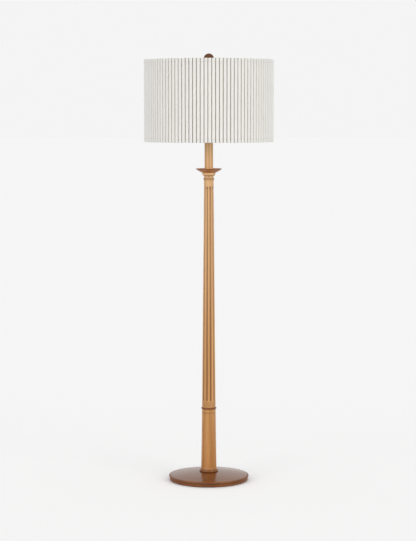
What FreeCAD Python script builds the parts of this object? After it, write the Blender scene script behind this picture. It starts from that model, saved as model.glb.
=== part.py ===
import FreeCAD, Part
import math
import os

# A floor lamp: a turned and fluted wooden column on a round weighted base, with a small dish
# under the neck and a pleated drum shade carried on a harp, held by a wooden ball finial.
# Millimetres. The origin is the centre of the underside, +Z is up and the front faces -Y.

# ---------------------------------------------------------------- fits
SEAT_GAP = 0.3            # air between a moving piece and what it rests on
WIRE_GAP = 0.3            # air beside a piece that lifts or unscrews
RUNNING_FIT = 0.05        # radial, a turning pin in its hole
GLUE_FIT = 0.05           # radial, a spigot in its socket
SCREW_FIT = 0.05          # radial, a screw in its hole
SLEEVE_FIT = 0.35         # radial, a locking sleeve round what it locks

# ---------------------------------------------------------------- base
PAD_THICKNESS = 2.0
PAD_INSET = 4.3           # felt edge inside the lower band
BAND_RADIUS = 142.3
BAND_HEIGHT = 8.0
BAND_CHAMFER = 0.8
COVE_DEPTH = 0.8
COVE_HEIGHT = 2.5
LIP_RADIUS = 145.4
LIP_HEIGHT = 7.0
LIP_ROUND = 3.5           # how far the lip stands out from the dome's edge
BASE_HEIGHT = 30.0
BASE_SEAT_RADIUS = 33.0
DOME_CROWN = 1.6          # rise of the dome above a straight slope
RECESS_RADIUS = 120.0
RECESS_DEPTH = 15.0
WEIGHT_INSET = 2.0
WEIGHT_THICKNESS = 9.0
WEIGHT_EDGE = 1.0
WEIGHT_POCKET_RADIUS = 24.0
WEIGHT_POCKET_DEPTH = 4.0
CORD_CHANNEL_WIDTH = 9.0
CORD_CHANNEL_DEPTH = 3.0
WEIGHT_SCREW_COUNT = 3
WEIGHT_SCREW_CIRCLE = 70.0
SCREW_SHANK_RADIUS = 2.0
SCREW_HEAD_RADIUS = 4.2
SCREW_HEAD_HEIGHT = 2.4
SCREW_BITE = 6.0          # length of screw in the wood
SCREW_SLOT_WIDTH = 1.0
SCREW_SLOT_DEPTH = 1.0

# ---------------------------------------------------------------- cord bushing, at the back
BUSHING_RISE = 4.7        # axis above the base's underside
BUSHING_BORE_RADIUS = 2.6
BUSHING_RADIUS = 3.5
BUSHING_LENGTH = 14.0
BUSHING_FLANGE_RADIUS = 4.4
BUSHING_FLANGE = 1.5
CORD_HOLE_ROOM = 0.8      # radial, the hole in the wood behind the bushing
SPOT_FACE_DEPTH = 0.3
SPOT_FACE_MARGIN = 0.3

# ---------------------------------------------------------------- lamp pipe and its nut
PIPE_RADIUS = 4.9
PIPE_BORE_RADIUS = 3.4
PIPE_CLEARANCE = 0.5
PIPE_TAIL = 1.0           # pipe below the nut
PIPE_ENTRY = 6.0          # pipe inside the socket's hub
WASHER_THICKNESS = 1.2
WASHER_RADIUS = 12.0
NUT_HEIGHT = 3.8
NUT_FLATS = 16.0

# ---------------------------------------------------------------- lower column
LOWER_HEIGHT = 231.0
FOOT_RADIUS = 31.5
BEAD_RADIUS = 34.0
BEAD_HEIGHT = 5.5
BEAD_TOP_RADIUS = 32.2
FLARE_HEIGHT = 17.0
FLARE_RADIUS = 28.0
FLARE_HOLLOW = 1.3        # how deep the cove above the bead is cut below a straight slope
LOWER_TOP_RADIUS = 24.9
LOWER_HOLLOW = 0.25       # how far the long taper lies inside a straight line
GROOVE_DROP = 14.0        # fine groove below the top of the lower column
GROOVE_HALF = 0.8
GROOVE_DEPTH = 0.8
SPIGOT_RADIUS = 12.0
SPIGOT_LENGTH = 14.0
SPIGOT_ROOM = 2.0

# ---------------------------------------------------------------- collar ring
COLLAR_HEIGHT = 4.0
COLLAR_RADIUS = 27.8
COLLAR_ROUND = 1.6

# ---------------------------------------------------------------- fluted shaft
SHAFT_HEIGHT = 836.0
SHAFT_BOTTOM_RADIUS = 24.5
SHAFT_TOP_RADIUS = 17.4
SHAFT_ENTASIS = 0.25      # swelling of the taper at mid height
TAPER_PAST_FLUTES = 3.0   # the taper runs this far beyond both ends of the flutes
FLUTE_COUNT = 10
FLUTE_START = 25.0        # above the shaft's bottom
FLUTE_END = 31.0          # below the shaft's top
FLUTE_WIDTH_BOTTOM = 7.8
FLUTE_WIDTH_TOP = 5.8
FLUTE_DEPTH_BOTTOM = 3.5
FLUTE_DEPTH_TOP = 2.7
ASTRAGAL_HEIGHT = 8.6
ASTRAGAL_RADIUS = 19.5
ASTRAGAL_LIP = 0.7        # step in the radius above and below the astragal
NECKING_RADIUS = 16.9

# ---------------------------------------------------------------- capital and dish
CAPITAL_HEIGHT = 18.0
CAPITAL_SPIGOT_RADIUS = 10.0
CAPITAL_SPIGOT = 8.0
CAPITAL_NECK = 2.5
COVE_TOP_RADIUS = 18.9      # narrow end of the ovolo's undercut
COVE_HOLLOW = 0.9         # how deep the cove is cut below a straight slope
OVOLO_START = 7.4
OVOLO_FOOT_RADIUS = 20.0
OVOLO_SWELL = 1.9         # how far the ovolo bulges beyond a straight slope
CAPITAL_RADIUS = 23.4
CAPITAL_FILLET = 2.5      # flat band under the dish
DISH_HEIGHT = 15.0
DISH_FOOT_RADIUS = 24.6
DISH_RADIUS = 46.6
DISH_RIM = 2.8
DISH_RIM_ROUND = 0.9
DISH_FLARE = 0.6          # how far the underside is hollowed below a straight slope
DISH_FLOOR = 11.0         # floor of the dish above its foot
DISH_FLOOR_RADIUS = 17.5
DISH_HOLLOW = 0.7

# ---------------------------------------------------------------- neck tube and check ring
TUBE_HEIGHT = 123.0
TUBE_BOTTOM_RADIUS = 15.5
TUBE_TOP_RADIUS = 15.2
TUBE_CHAMFER = 1.0
CHECK_HEIGHT = 3.0
CHECK_RADIUS = 14.5
CHECK_ROUND = 1.0

# ---------------------------------------------------------------- lamp socket
SOCKET_HUB_RADIUS = 8.5
SOCKET_HUB_HEIGHT = 6.0
SOCKET_CAP_HEIGHT = 21.0
SHELL_RADIUS = 17.5
SHELL_WALL = 0.6
SHELL_HEIGHT = 43.0
SHELL_OVERLAP = 6.0       # shell inside the cap
SHELL_MOUTH_ROUND = 0.8
SLEEVE_WALL = 0.8
SLEEVE_INSET = 2.0        # cardboard sleeve below the shell's mouth
CORE_INSET = 0.15
CORE_HEIGHT = 14.0
SCREW_SHELL_HEIGHT = 24.0
SCREW_SHELL_WALL = 0.5
TONGUE_RADIUS = 4.5
TONGUE_THICKNESS = 1.2
SPINDLE_RISE = 30.0       # switch axis above the saddle
SPINDLE_RADIUS = 2.4
SPINDLE_INNER = 6.0       # inner end of the spindle from the lamp's axis
SPINDLE_HOLE_ROOM = 0.6
SWITCH_BUSHING_RADIUS = 4.6
SWITCH_BUSHING_LENGTH = 4.5
KNOB_STEM = 3.0           # air between the bushing and the knob
KNOB_RADIUS = 5.5
KNOB_LENGTH = 15.0
KNOB_FLAT = 7.6           # thickness of the gripped end
KNOB_COLLAR = 4.5         # round part of the knob next to the socket
KNOB_BORE_DEPTH = 8.0

# ---------------------------------------------------------------- bulb
BULB_LENGTH = 110.0
BULB_RADIUS = 30.0
BULB_CAP_RADIUS = 13.1
BULB_CAP_HEIGHT = 24.0
BULB_CONTACT_RADIUS = 4.6
BULB_CONTACT_HEIGHT = 1.6
BULB_NECK_RADIUS = 14.2
BULB_NECK_RISE = 8.0
BULB_WALL = 1.0

# ---------------------------------------------------------------- harp
HARP_HEIGHT = 239.4       # saddle to the centre of the wire at the top
HARP_WIRE_RADIUS = 1.6
HARP_HALF_WIDTH = 57.0
HARP_SHOULDER_BEND = 45.0
HARP_FOOT_BEND = 30.0
HARP_SPREAD_HEIGHT = 52.0
HARP_STRAIGHT = 36.0      # straight wire above the saddle's ledge
SADDLE_HALF = 34.0        # inner face of the saddle's ears
SADDLE_THICKNESS = 2.0
SADDLE_WIDTH = 16.0
LEDGE_HEIGHT = 8.0
LEDGE_WIDTH = 12.0
EAR_HEIGHT = 12.0
EAR_WIDTH = 6.0
SLEEVE_LENGTH = 15.0
SLEEVE_BODY_WALL = 1.0
SLEEVE_FLANGE = 0.8
SLEEVE_FLANGE_HEIGHT = 2.0
HARP_COLLAR_RADIUS = 5.5
HARP_COLLAR_BELOW = 6.0
HARP_COLLAR_ABOVE = 5.8
PIVOT_RADIUS = 2.4
PIVOT_LENGTH = 3.4
PLATE_RADIUS = 9.5
PLATE_THICKNESS = 2.0
STUD_RADIUS = 3.175
STUD_HEIGHT = 18.0

# ---------------------------------------------------------------- shade
SPIDER_ARMS = 3
SPIDER_WASHER_RADIUS = 11.0
SPIDER_WASHER = 2.0
SPIDER_HOLE_ROOM = 0.35
SPIDER_WIRE_RADIUS = 1.6
SPIDER_RISE_RUN = 30.0    # length over which an arm climbs to the ring
SPIDER_BEND = 18.0
SHADE_RISE = 16.6         # shade's top edge above the spider's washer
SHADE_HEIGHT = 292.4
SHADE_RADIUS = 232.8      # over the ridges of the pleats
RING_WIRE_RADIUS = 1.8
RING_INSET = 2.6          # ring's centre from the edge of the shade
LINER_WALL = 1.0
COVER_WALL = 0.6
PLEAT_COUNT = 108
PLEAT_DEPTH = 5.0
PLEAT_RIDGE = 8.0         # width of a ridge
PLEAT_VALLEY = 1.6        # width of a valley's floor
PLEAT_CROWN = 0.5
PLEAT_TURN = 0.8          # degrees, a ridge stands this far to the right of the front
EDGE_BAND_HEIGHT = 13.0   # tape over the liner's edge, inside the shade
EDGE_BAND_WALL = 0.4

# ---------------------------------------------------------------- finial
FINIAL_RADIUS = 18.5
FINIAL_HEIGHT = 39.3
FINIAL_FOOT_RADIUS = 8.5
FINIAL_NECK_RADIUS = 7.6
INSERT_RADIUS = 5.0
INSERT_LENGTH = 16.0
INSERT_FIT = 0.075        # radial, stud in its threaded insert
STUD_ROOM = 1.5

# ---------------------------------------------------------------- heights worked out
WOOD_BORE = PIPE_RADIUS + PIPE_CLEARANCE
Z_BASE = PAD_THICKNESS
Z_FOOT = Z_BASE + BASE_HEIGHT
Z_COLLAR = Z_FOOT + LOWER_HEIGHT
Z_SHAFT = Z_COLLAR + COLLAR_HEIGHT
Z_CAPITAL = Z_SHAFT + SHAFT_HEIGHT
Z_DISH = Z_CAPITAL + CAPITAL_HEIGHT
Z_TUBE = Z_DISH + DISH_FLOOR
Z_CHECK = Z_TUBE + TUBE_HEIGHT
Z_SADDLE = Z_CHECK + CHECK_HEIGHT
Z_SOCKET = Z_SADDLE + SADDLE_THICKNESS
Z_SHELL = Z_SOCKET + SOCKET_CAP_HEIGHT - SHELL_OVERLAP
Z_MOUTH = Z_SHELL + SHELL_HEIGHT
Z_SPINDLE = Z_SADDLE + SPINDLE_RISE
Z_CORE = Z_SOCKET + SOCKET_CAP_HEIGHT
Z_CORE_TOP = Z_CORE + CORE_HEIGHT
Z_BULB = Z_CORE_TOP + TONGUE_THICKNESS + SEAT_GAP
Z_LEDGE = Z_SADDLE + LEDGE_HEIGHT
Z_HARP_TOP = Z_SADDLE + HARP_HEIGHT
Z_PLATE = Z_HARP_TOP + HARP_COLLAR_ABOVE + SEAT_GAP
Z_WASHER = Z_PLATE + PLATE_THICKNESS + SEAT_GAP
Z_WASHER_TOP = Z_WASHER + SPIDER_WASHER
Z_FINIAL = Z_WASHER_TOP + SEAT_GAP
Z_SHADE_TOP = Z_WASHER_TOP + SHADE_RISE
Z_SHADE = Z_SHADE_TOP - SHADE_HEIGHT

Z_RECESS = Z_BASE + RECESS_DEPTH
Z_WEIGHT = Z_RECESS - WEIGHT_THICKNESS
Z_NUT_WASHER = Z_WEIGHT + WEIGHT_POCKET_DEPTH - WASHER_THICKNESS
Z_NUT = Z_NUT_WASHER - NUT_HEIGHT
Z_PIPE = Z_NUT - PIPE_TAIL
Z_PIPE_TOP = Z_SOCKET + PIPE_ENTRY

# Radii worked out
SLEEVE_OUTER = SHELL_RADIUS - SHELL_WALL - CORE_INSET
CORE_RADIUS = SLEEVE_OUTER - SLEEVE_WALL - CORE_INSET
SCREW_SHELL_RADIUS = BULB_CAP_RADIUS + WIRE_GAP
EAR_OUTER = SADDLE_HALF + SADDLE_THICKNESS
LEG_X = EAR_OUTER + WIRE_GAP + HARP_WIRE_RADIUS
COVER_INNER_RADIUS = SHADE_RADIUS - PLEAT_CROWN - PLEAT_DEPTH
LINER_OUTER = COVER_INNER_RADIUS - COVER_WALL
LINER_INNER = LINER_OUTER - LINER_WALL
BAND_INNER = LINER_INNER - EDGE_BAND_WALL
RING_RADIUS = BAND_INNER - RING_WIRE_RADIUS

SLIGHT_CURVE = 2000.0      # an arc of a larger radius than this is drawn as a spline
AXIS = FreeCAD.Vector(0, 0, 1)
ORIGIN = FreeCAD.Vector(0, 0, 0)


# ---------------------------------------------------------------- shape helpers
def at(x, y, z):
    return FreeCAD.Vector(x, y, z)


def turned(start, *steps):
    """A solid turned about the Z axis. A step is a point (r, z), or a pair (via, end) for a curve.

    A pair gives a round arc, or a smooth spline where the curve is too slight for one.
    """
    edges = []
    here = at(start[0], 0, start[1])
    for step in steps + (start,):
        if isinstance(step[0], tuple):
            via = at(step[0][0], 0, step[0][1])
            there = at(step[1][0], 0, step[1][1])
            curve = Part.Arc(here, via, there).toShape()
            if curve.Curve.Radius > SLIGHT_CURVE:
                spline = Part.BSplineCurve()
                spline.interpolate([here, via, there])
                curve = spline.toShape()
            edges.append(curve)
        else:
            there = at(step[0], 0, step[1])
            if there.distanceToPoint(here) < 1e-6:
                continue
            edges.append(Part.LineSegment(here, there).toShape())
        here = there
    return Part.Face(Part.Wire(edges)).revolve(ORIGIN, AXIS, 360)


def bulge(first, last, height):
    """The point that stands height to the left of the middle of the line from first to last."""
    dr = last[0] - first[0]
    dz = last[1] - first[1]
    length = math.hypot(dr, dz)
    return ((first[0] + last[0]) / 2 - height * dz / length,
            (first[1] + last[1]) / 2 + height * dr / length)


def rod(radius, z0, z1):
    return Part.makeCylinder(radius, z1 - z0, at(0, 0, z0))


def tube(outer, inner, z0, z1):
    return rod(outer, z0, z1).cut(rod(inner, z0, z1))


def rod_y(radius, y0, y1, z):
    """A rod along Y, from y0 to y1, at height z."""
    return Part.makeCylinder(radius, y1 - y0, at(0, y0, z), at(0, 1, 0))


def block(x0, x1, y0, y1, z0, z1):
    return Part.makeBox(x1 - x0, y1 - y0, z1 - z0, at(x0, y0, z0))


def around(shape, count, first=0.0):
    """Copies of a shape, evenly spaced about the Z axis."""
    copies = []
    for n in range(count):
        turned_copy = shape.copy()
        turned_copy.rotate(ORIGIN, AXIS, first + 360.0 * n / count)
        copies.append(turned_copy)
    return copies


def bent_wire(points, bends, radius):
    """A round wire through points, with an arc of its own bend radius at each inner point."""
    edges = []
    here = points[0]
    for n in range(1, len(points) - 1):
        corner = points[n]
        incoming = (corner - points[n - 1]).normalize()
        outgoing = (points[n + 1] - corner).normalize()
        half_turn = incoming.getAngle(outgoing) / 2
        setback = bends[n - 1] * math.tan(half_turn)
        entry = corner - incoming * setback
        leave = corner + outgoing * setback
        inward = (outgoing - incoming).normalize()
        via = corner + inward * (bends[n - 1] / math.cos(half_turn) - bends[n - 1])
        edges.append(Part.LineSegment(here, entry).toShape())
        edges.append(Part.Arc(entry, via, leave).toShape())
        here = leave
    edges.append(Part.LineSegment(here, points[-1]).toShape())
    path = Part.Wire(edges)
    start_direction = (points[1] - points[0]).normalize()
    section = Part.Wire([Part.makeCircle(radius, points[0], start_direction)])
    return path.makePipeShell([section], True, False)


# ---------------------------------------------------------------- base pieces
def base_disc():
    z_lip = Z_BASE + BAND_HEIGHT + COVE_HEIGHT
    z_lip_top = z_lip + LIP_HEIGHT
    edge = LIP_RADIUS - LIP_ROUND
    seat = (BASE_SEAT_RADIUS, Z_FOOT)
    rim = (edge, z_lip_top)
    cove_foot = (BAND_RADIUS, Z_BASE + BAND_HEIGHT)
    disc = turned(
        (WOOD_BORE, Z_RECESS), (WOOD_BORE, Z_FOOT), seat,
        (bulge(seat, rim, DOME_CROWN), rim),
        ((LIP_RADIUS, z_lip + LIP_HEIGHT / 2), (edge, z_lip)),
        (bulge((edge, z_lip), cove_foot, -COVE_DEPTH), cove_foot),
        (BAND_RADIUS, Z_BASE + BAND_CHAMFER), (BAND_RADIUS - BAND_CHAMFER, Z_BASE),
        (RECESS_RADIUS, Z_BASE), (RECESS_RADIUS, Z_RECESS))
    y_face = BAND_RADIUS - SPOT_FACE_DEPTH
    z_cord = Z_BASE + BUSHING_RISE
    disc = disc.cut(rod_y(BUSHING_RADIUS + GLUE_FIT, y_face - BUSHING_LENGTH, LIP_RADIUS, z_cord))
    disc = disc.cut(rod_y(BUSHING_BORE_RADIUS + CORD_HOLE_ROOM, 0, y_face, z_cord))
    disc = disc.cut(rod_y(BUSHING_FLANGE_RADIUS + SPOT_FACE_MARGIN, y_face, LIP_RADIUS, z_cord))
    hole = rod(SCREW_SHANK_RADIUS + SCREW_FIT, Z_RECESS, Z_RECESS + SCREW_BITE)
    hole.translate(at(WEIGHT_SCREW_CIRCLE, 0, 0))
    return disc.cut(around(hole, WEIGHT_SCREW_COUNT))


def felt_pad():
    return rod(BAND_RADIUS - PAD_INSET, 0, PAD_THICKNESS)


def base_weight():
    """A cast disc with a pocket for the nut and a channel for the cord, open to the back."""
    outer = RECESS_RADIUS - WEIGHT_INSET
    z_pocket = Z_WEIGHT + WEIGHT_POCKET_DEPTH
    weight = turned(
        (WOOD_BORE, z_pocket), (WOOD_BORE, Z_RECESS), (outer, Z_RECESS),
        (outer, Z_WEIGHT + WEIGHT_EDGE), (outer - WEIGHT_EDGE, Z_WEIGHT),
        (WEIGHT_POCKET_RADIUS, Z_WEIGHT), (WEIGHT_POCKET_RADIUS, z_pocket))
    half = CORD_CHANNEL_WIDTH / 2
    weight = weight.cut(block(-half, half, 0, RECESS_RADIUS, Z_WEIGHT, Z_WEIGHT + CORD_CHANNEL_DEPTH))
    hole = rod(SCREW_SHANK_RADIUS + SCREW_FIT, Z_WEIGHT, Z_RECESS)
    hole.translate(at(WEIGHT_SCREW_CIRCLE, 0, 0))
    return weight.cut(around(hole, WEIGHT_SCREW_COUNT))


def weight_screws():
    z_head = Z_WEIGHT - SCREW_HEAD_HEIGHT
    screw = turned(
        (0, z_head), (SCREW_HEAD_RADIUS * 0.8, z_head), (SCREW_HEAD_RADIUS, z_head + 0.8),
        (SCREW_HEAD_RADIUS, Z_WEIGHT), (SCREW_SHANK_RADIUS, Z_WEIGHT),
        (SCREW_SHANK_RADIUS, Z_RECESS + SCREW_BITE - SCREW_SHANK_RADIUS), (0, Z_RECESS + SCREW_BITE))
    half = SCREW_SLOT_WIDTH / 2
    reach = SCREW_HEAD_RADIUS + 1
    screw = screw.cut(block(-reach, reach, -half, half, z_head, z_head + SCREW_SLOT_DEPTH))
    screw.translate(at(WEIGHT_SCREW_CIRCLE, 0, 0))
    return Part.makeCompound(around(screw, WEIGHT_SCREW_COUNT))


def pipe_washer():
    return tube(WASHER_RADIUS, PIPE_RADIUS + SCREW_FIT, Z_NUT_WASHER, Z_NUT_WASHER + WASHER_THICKNESS)


def pipe_nut():
    """A thin hexagon nut with its corners turned off."""
    corner = NUT_FLATS / math.sqrt(3)
    corners = []
    for n in range(7):
        angle = math.radians(60 * n)
        corners.append(at(corner * math.cos(angle), corner * math.sin(angle), Z_NUT))
    prism = Part.Face(Part.makePolygon(corners)).extrude(at(0, 0, NUT_HEIGHT))
    trim = turned(
        (0, Z_NUT), (NUT_FLATS / 2, Z_NUT), (corner, Z_NUT + (corner - NUT_FLATS / 2) / 2),
        (corner, Z_NUT_WASHER), (0, Z_NUT_WASHER))
    return prism.common(trim).cut(rod(PIPE_RADIUS, Z_NUT, Z_NUT_WASHER))


def cord_bushing():
    """A flanged bush through the back of the base, with a rounded mouth."""
    z_cord = Z_BASE + BUSHING_RISE
    y_face = BAND_RADIUS - SPOT_FACE_DEPTH
    bush = turned(
        (BUSHING_BORE_RADIUS, -BUSHING_LENGTH), (BUSHING_RADIUS, -BUSHING_LENGTH), (BUSHING_RADIUS, 0),
        (BUSHING_FLANGE_RADIUS, 0), (BUSHING_FLANGE_RADIUS, BUSHING_FLANGE * 0.5),
        (BUSHING_FLANGE_RADIUS * 0.85, BUSHING_FLANGE), (BUSHING_BORE_RADIUS, BUSHING_FLANGE))
    bush.rotate(ORIGIN, at(1, 0, 0), -90)
    bush.translate(at(0, y_face, z_cord))
    return bush


# ---------------------------------------------------------------- column pieces
def lower_column():
    bead_top = (BEAD_TOP_RADIUS, Z_FOOT + BEAD_HEIGHT)
    flare = (FLARE_RADIUS, Z_FOOT + FLARE_HEIGHT)
    z_groove = Z_COLLAR - GROOVE_DROP
    taper_top = (LOWER_TOP_RADIUS, z_groove - GROOVE_HALF)
    socket = SPIGOT_RADIUS + GLUE_FIT
    z_socket = Z_COLLAR - (SPIGOT_LENGTH - COLLAR_HEIGHT) - SPIGOT_ROOM
    return turned(
        (WOOD_BORE, Z_FOOT), (FOOT_RADIUS, Z_FOOT),
        ((BEAD_RADIUS, Z_FOOT + BEAD_HEIGHT / 2), bead_top),
        (bulge(bead_top, flare, FLARE_HOLLOW), flare),
        (bulge(flare, taper_top, LOWER_HOLLOW), taper_top),
        (LOWER_TOP_RADIUS - GROOVE_DEPTH, z_groove), (LOWER_TOP_RADIUS, z_groove + GROOVE_HALF),
        (LOWER_TOP_RADIUS, Z_COLLAR), (socket, Z_COLLAR), (socket, z_socket), (WOOD_BORE, z_socket))


def collar_ring():
    inner = SPIGOT_RADIUS + GLUE_FIT
    edge = COLLAR_RADIUS - COLLAR_ROUND
    return turned(
        (inner, Z_COLLAR), (edge, Z_COLLAR),
        ((COLLAR_RADIUS, (Z_COLLAR + Z_SHAFT) / 2), (edge, Z_SHAFT)), (inner, Z_SHAFT))


def shaft_blank():
    """The shaft as it leaves the lathe, before its flutes are cut."""
    z_spigot = Z_SHAFT - SPIGOT_LENGTH
    z_astragal = Z_CAPITAL - ASTRAGAL_HEIGHT
    taper_start = (SHAFT_BOTTOM_RADIUS, Z_SHAFT + FLUTE_START - TAPER_PAST_FLUTES)
    taper_end = (SHAFT_TOP_RADIUS, Z_CAPITAL - FLUTE_END + TAPER_PAST_FLUTES)
    astragal_edge = SHAFT_TOP_RADIUS + ASTRAGAL_LIP
    socket = CAPITAL_SPIGOT_RADIUS + GLUE_FIT
    z_socket = Z_CAPITAL - CAPITAL_SPIGOT - SPIGOT_ROOM
    return turned(
        (WOOD_BORE, z_spigot), (SPIGOT_RADIUS, z_spigot), (SPIGOT_RADIUS, Z_SHAFT),
        (SHAFT_BOTTOM_RADIUS, Z_SHAFT), taper_start,
        (bulge(taper_start, taper_end, -SHAFT_ENTASIS), taper_end),
        (SHAFT_TOP_RADIUS, z_astragal), (astragal_edge, z_astragal),
        ((ASTRAGAL_RADIUS, (z_astragal + Z_CAPITAL) / 2), (astragal_edge, Z_CAPITAL)),
        (socket, Z_CAPITAL), (socket, z_socket), (WOOD_BORE, z_socket))


def flute_section(width, depth):
    """Radius of a round flute, and how far its centre lies outside the surface."""
    radius = (width * width / 4 + depth * depth) / (2 * depth)
    return radius, radius - depth


def flute_cutter():
    """A long tapered cutter with ball ends, along the front of the shaft."""
    low_radius, low_out = flute_section(FLUTE_WIDTH_BOTTOM, FLUTE_DEPTH_BOTTOM)
    top_radius, top_out = flute_section(FLUTE_WIDTH_TOP, FLUTE_DEPTH_TOP)
    low_reach = math.sqrt(low_radius ** 2 - low_out ** 2)
    top_reach = math.sqrt(top_radius ** 2 - top_out ** 2)
    low = at(SHAFT_BOTTOM_RADIUS + low_out, 0, Z_SHAFT + FLUTE_START + low_reach)
    top = at(SHAFT_TOP_RADIUS + top_out, 0, Z_CAPITAL - FLUTE_END - top_reach)
    length = low.distanceToPoint(top)
    diagonal = math.sqrt(0.5)
    cutter = turned(
        (0, -low_radius),
        ((low_radius * diagonal, -low_radius * diagonal), (low_radius, 0)), (top_radius, length),
        ((top_radius * diagonal, length + top_radius * diagonal), (0, length + top_radius)))
    lean = math.degrees(math.atan2(top.x - low.x, top.z - low.z))
    cutter.rotate(ORIGIN, at(0, 1, 0), lean)
    cutter.translate(low)
    return cutter


def fluted_shaft():
    """Ten flutes, with the ridge between two of them facing the front."""
    first = -90 + 180.0 / FLUTE_COUNT
    return shaft_blank().cut(around(flute_cutter(), FLUTE_COUNT, first))


def capital():
    z_spigot = Z_CAPITAL - CAPITAL_SPIGOT
    neck_top = (NECKING_RADIUS, Z_CAPITAL + CAPITAL_NECK)
    cove_top = (COVE_TOP_RADIUS, Z_CAPITAL + OVOLO_START)
    ovolo_foot = (OVOLO_FOOT_RADIUS, Z_CAPITAL + OVOLO_START)
    ovolo_top = (CAPITAL_RADIUS, Z_DISH - CAPITAL_FILLET)
    return turned(
        (WOOD_BORE, z_spigot), (CAPITAL_SPIGOT_RADIUS, z_spigot), (CAPITAL_SPIGOT_RADIUS, Z_CAPITAL),
        (NECKING_RADIUS, Z_CAPITAL), neck_top, (bulge(neck_top, cove_top, COVE_HOLLOW), cove_top), ovolo_foot,
        (bulge(ovolo_foot, ovolo_top, -OVOLO_SWELL), ovolo_top),
        (CAPITAL_RADIUS, Z_DISH), (WOOD_BORE, Z_DISH))


def drip_dish():
    z_rim = Z_DISH + DISH_HEIGHT
    foot = (DISH_FOOT_RADIUS, Z_DISH)
    under = (DISH_RADIUS - DISH_RIM_ROUND, z_rim - DISH_RIM)
    over = (DISH_RADIUS - DISH_RIM_ROUND, z_rim)
    floor_edge = (DISH_FLOOR_RADIUS, Z_TUBE)
    return turned(
        (WOOD_BORE, Z_DISH), foot, (bulge(foot, under, -DISH_FLARE), under),
        ((DISH_RADIUS, z_rim - DISH_RIM / 2), over),
        (bulge(over, floor_edge, DISH_HOLLOW), floor_edge), (WOOD_BORE, Z_TUBE))


def neck_tube():
    return turned(
        (WOOD_BORE, Z_TUBE), (TUBE_BOTTOM_RADIUS, Z_TUBE), (TUBE_TOP_RADIUS, Z_CHECK - TUBE_CHAMFER),
        (TUBE_TOP_RADIUS - TUBE_CHAMFER, Z_CHECK), (WOOD_BORE, Z_CHECK))


def lamp_pipe():
    return tube(PIPE_RADIUS, PIPE_BORE_RADIUS, Z_PIPE, Z_PIPE_TOP)


def check_ring():
    inner = PIPE_RADIUS + SCREW_FIT
    return turned(
        (inner, Z_CHECK), (CHECK_RADIUS, Z_CHECK), (CHECK_RADIUS, Z_SADDLE - CHECK_ROUND),
        (CHECK_RADIUS - CHECK_ROUND, Z_SADDLE), (inner, Z_SADDLE))


# ---------------------------------------------------------------- lamp socket pieces
def socket_cap():
    cup = SHELL_RADIUS + GLUE_FIT
    outer = cup + SHELL_WALL
    z_hub = Z_SOCKET + SOCKET_HUB_HEIGHT
    z_shoulder = Z_SHELL - 0.5
    z_rim = Z_SOCKET + SOCKET_CAP_HEIGHT
    hub_top = (SOCKET_HUB_RADIUS, z_hub)
    shoulder = (outer, z_shoulder)
    inner_shoulder = (cup, z_shoulder)
    inner_hub = (SOCKET_HUB_RADIUS - SHELL_WALL, z_hub + SHELL_WALL)
    return turned(
        (PIPE_RADIUS, Z_SOCKET), (SOCKET_HUB_RADIUS, Z_SOCKET), hub_top,
        (bulge(hub_top, shoulder, -1.5), shoulder), (outer, z_rim), (cup, z_rim), inner_shoulder,
        (bulge(inner_shoulder, inner_hub, 1.5), inner_hub), (PIPE_RADIUS, z_hub + SHELL_WALL))


def switch_hole(radius):
    return rod_y(radius, -SHELL_RADIUS - SHELL_WALL, 0, Z_SPINDLE)


def socket_shell():
    inner = SHELL_RADIUS - SHELL_WALL
    shell = turned(
        (inner, Z_SHELL), (SHELL_RADIUS, Z_SHELL), (SHELL_RADIUS, Z_MOUTH - SHELL_MOUTH_ROUND),
        (SHELL_RADIUS - SHELL_WALL / 2, Z_MOUTH), (inner, Z_MOUTH))
    return shell.cut(switch_hole(SWITCH_BUSHING_RADIUS - SPINDLE_HOLE_ROOM))


def socket_sleeve():
    sleeve = tube(SLEEVE_OUTER, SLEEVE_OUTER - SLEEVE_WALL, Z_CORE, Z_MOUTH - SLEEVE_INSET)
    return sleeve.cut(switch_hole(SWITCH_BUSHING_RADIUS - SPINDLE_HOLE_ROOM))


def socket_core():
    """The moulded block that holds the switch and carries the screw shell."""
    core = rod(CORE_RADIUS, Z_CORE, Z_CORE_TOP)
    spindle_end = -SPINDLE_INNER + SEAT_GAP
    return core.cut(rod_y(SPINDLE_RADIUS + RUNNING_FIT, -SHELL_RADIUS, spindle_end, Z_SPINDLE))


def screw_shell():
    z_top = Z_CORE_TOP + SCREW_SHELL_HEIGHT
    wall = tube(SCREW_SHELL_RADIUS + SCREW_SHELL_WALL, SCREW_SHELL_RADIUS, Z_CORE_TOP, z_top)
    floor = tube(SCREW_SHELL_RADIUS, TONGUE_RADIUS + 3, Z_CORE_TOP, Z_CORE_TOP + SCREW_SHELL_WALL)
    return wall.fuse(floor).removeSplitter()


def contact_tongue():
    return turned(
        (0, Z_CORE_TOP), (TONGUE_RADIUS, Z_CORE_TOP), (TONGUE_RADIUS, Z_CORE_TOP + TONGUE_THICKNESS / 2),
        (TONGUE_RADIUS / 2, Z_CORE_TOP + TONGUE_THICKNESS), (0, Z_CORE_TOP + TONGUE_THICKNESS))


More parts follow.
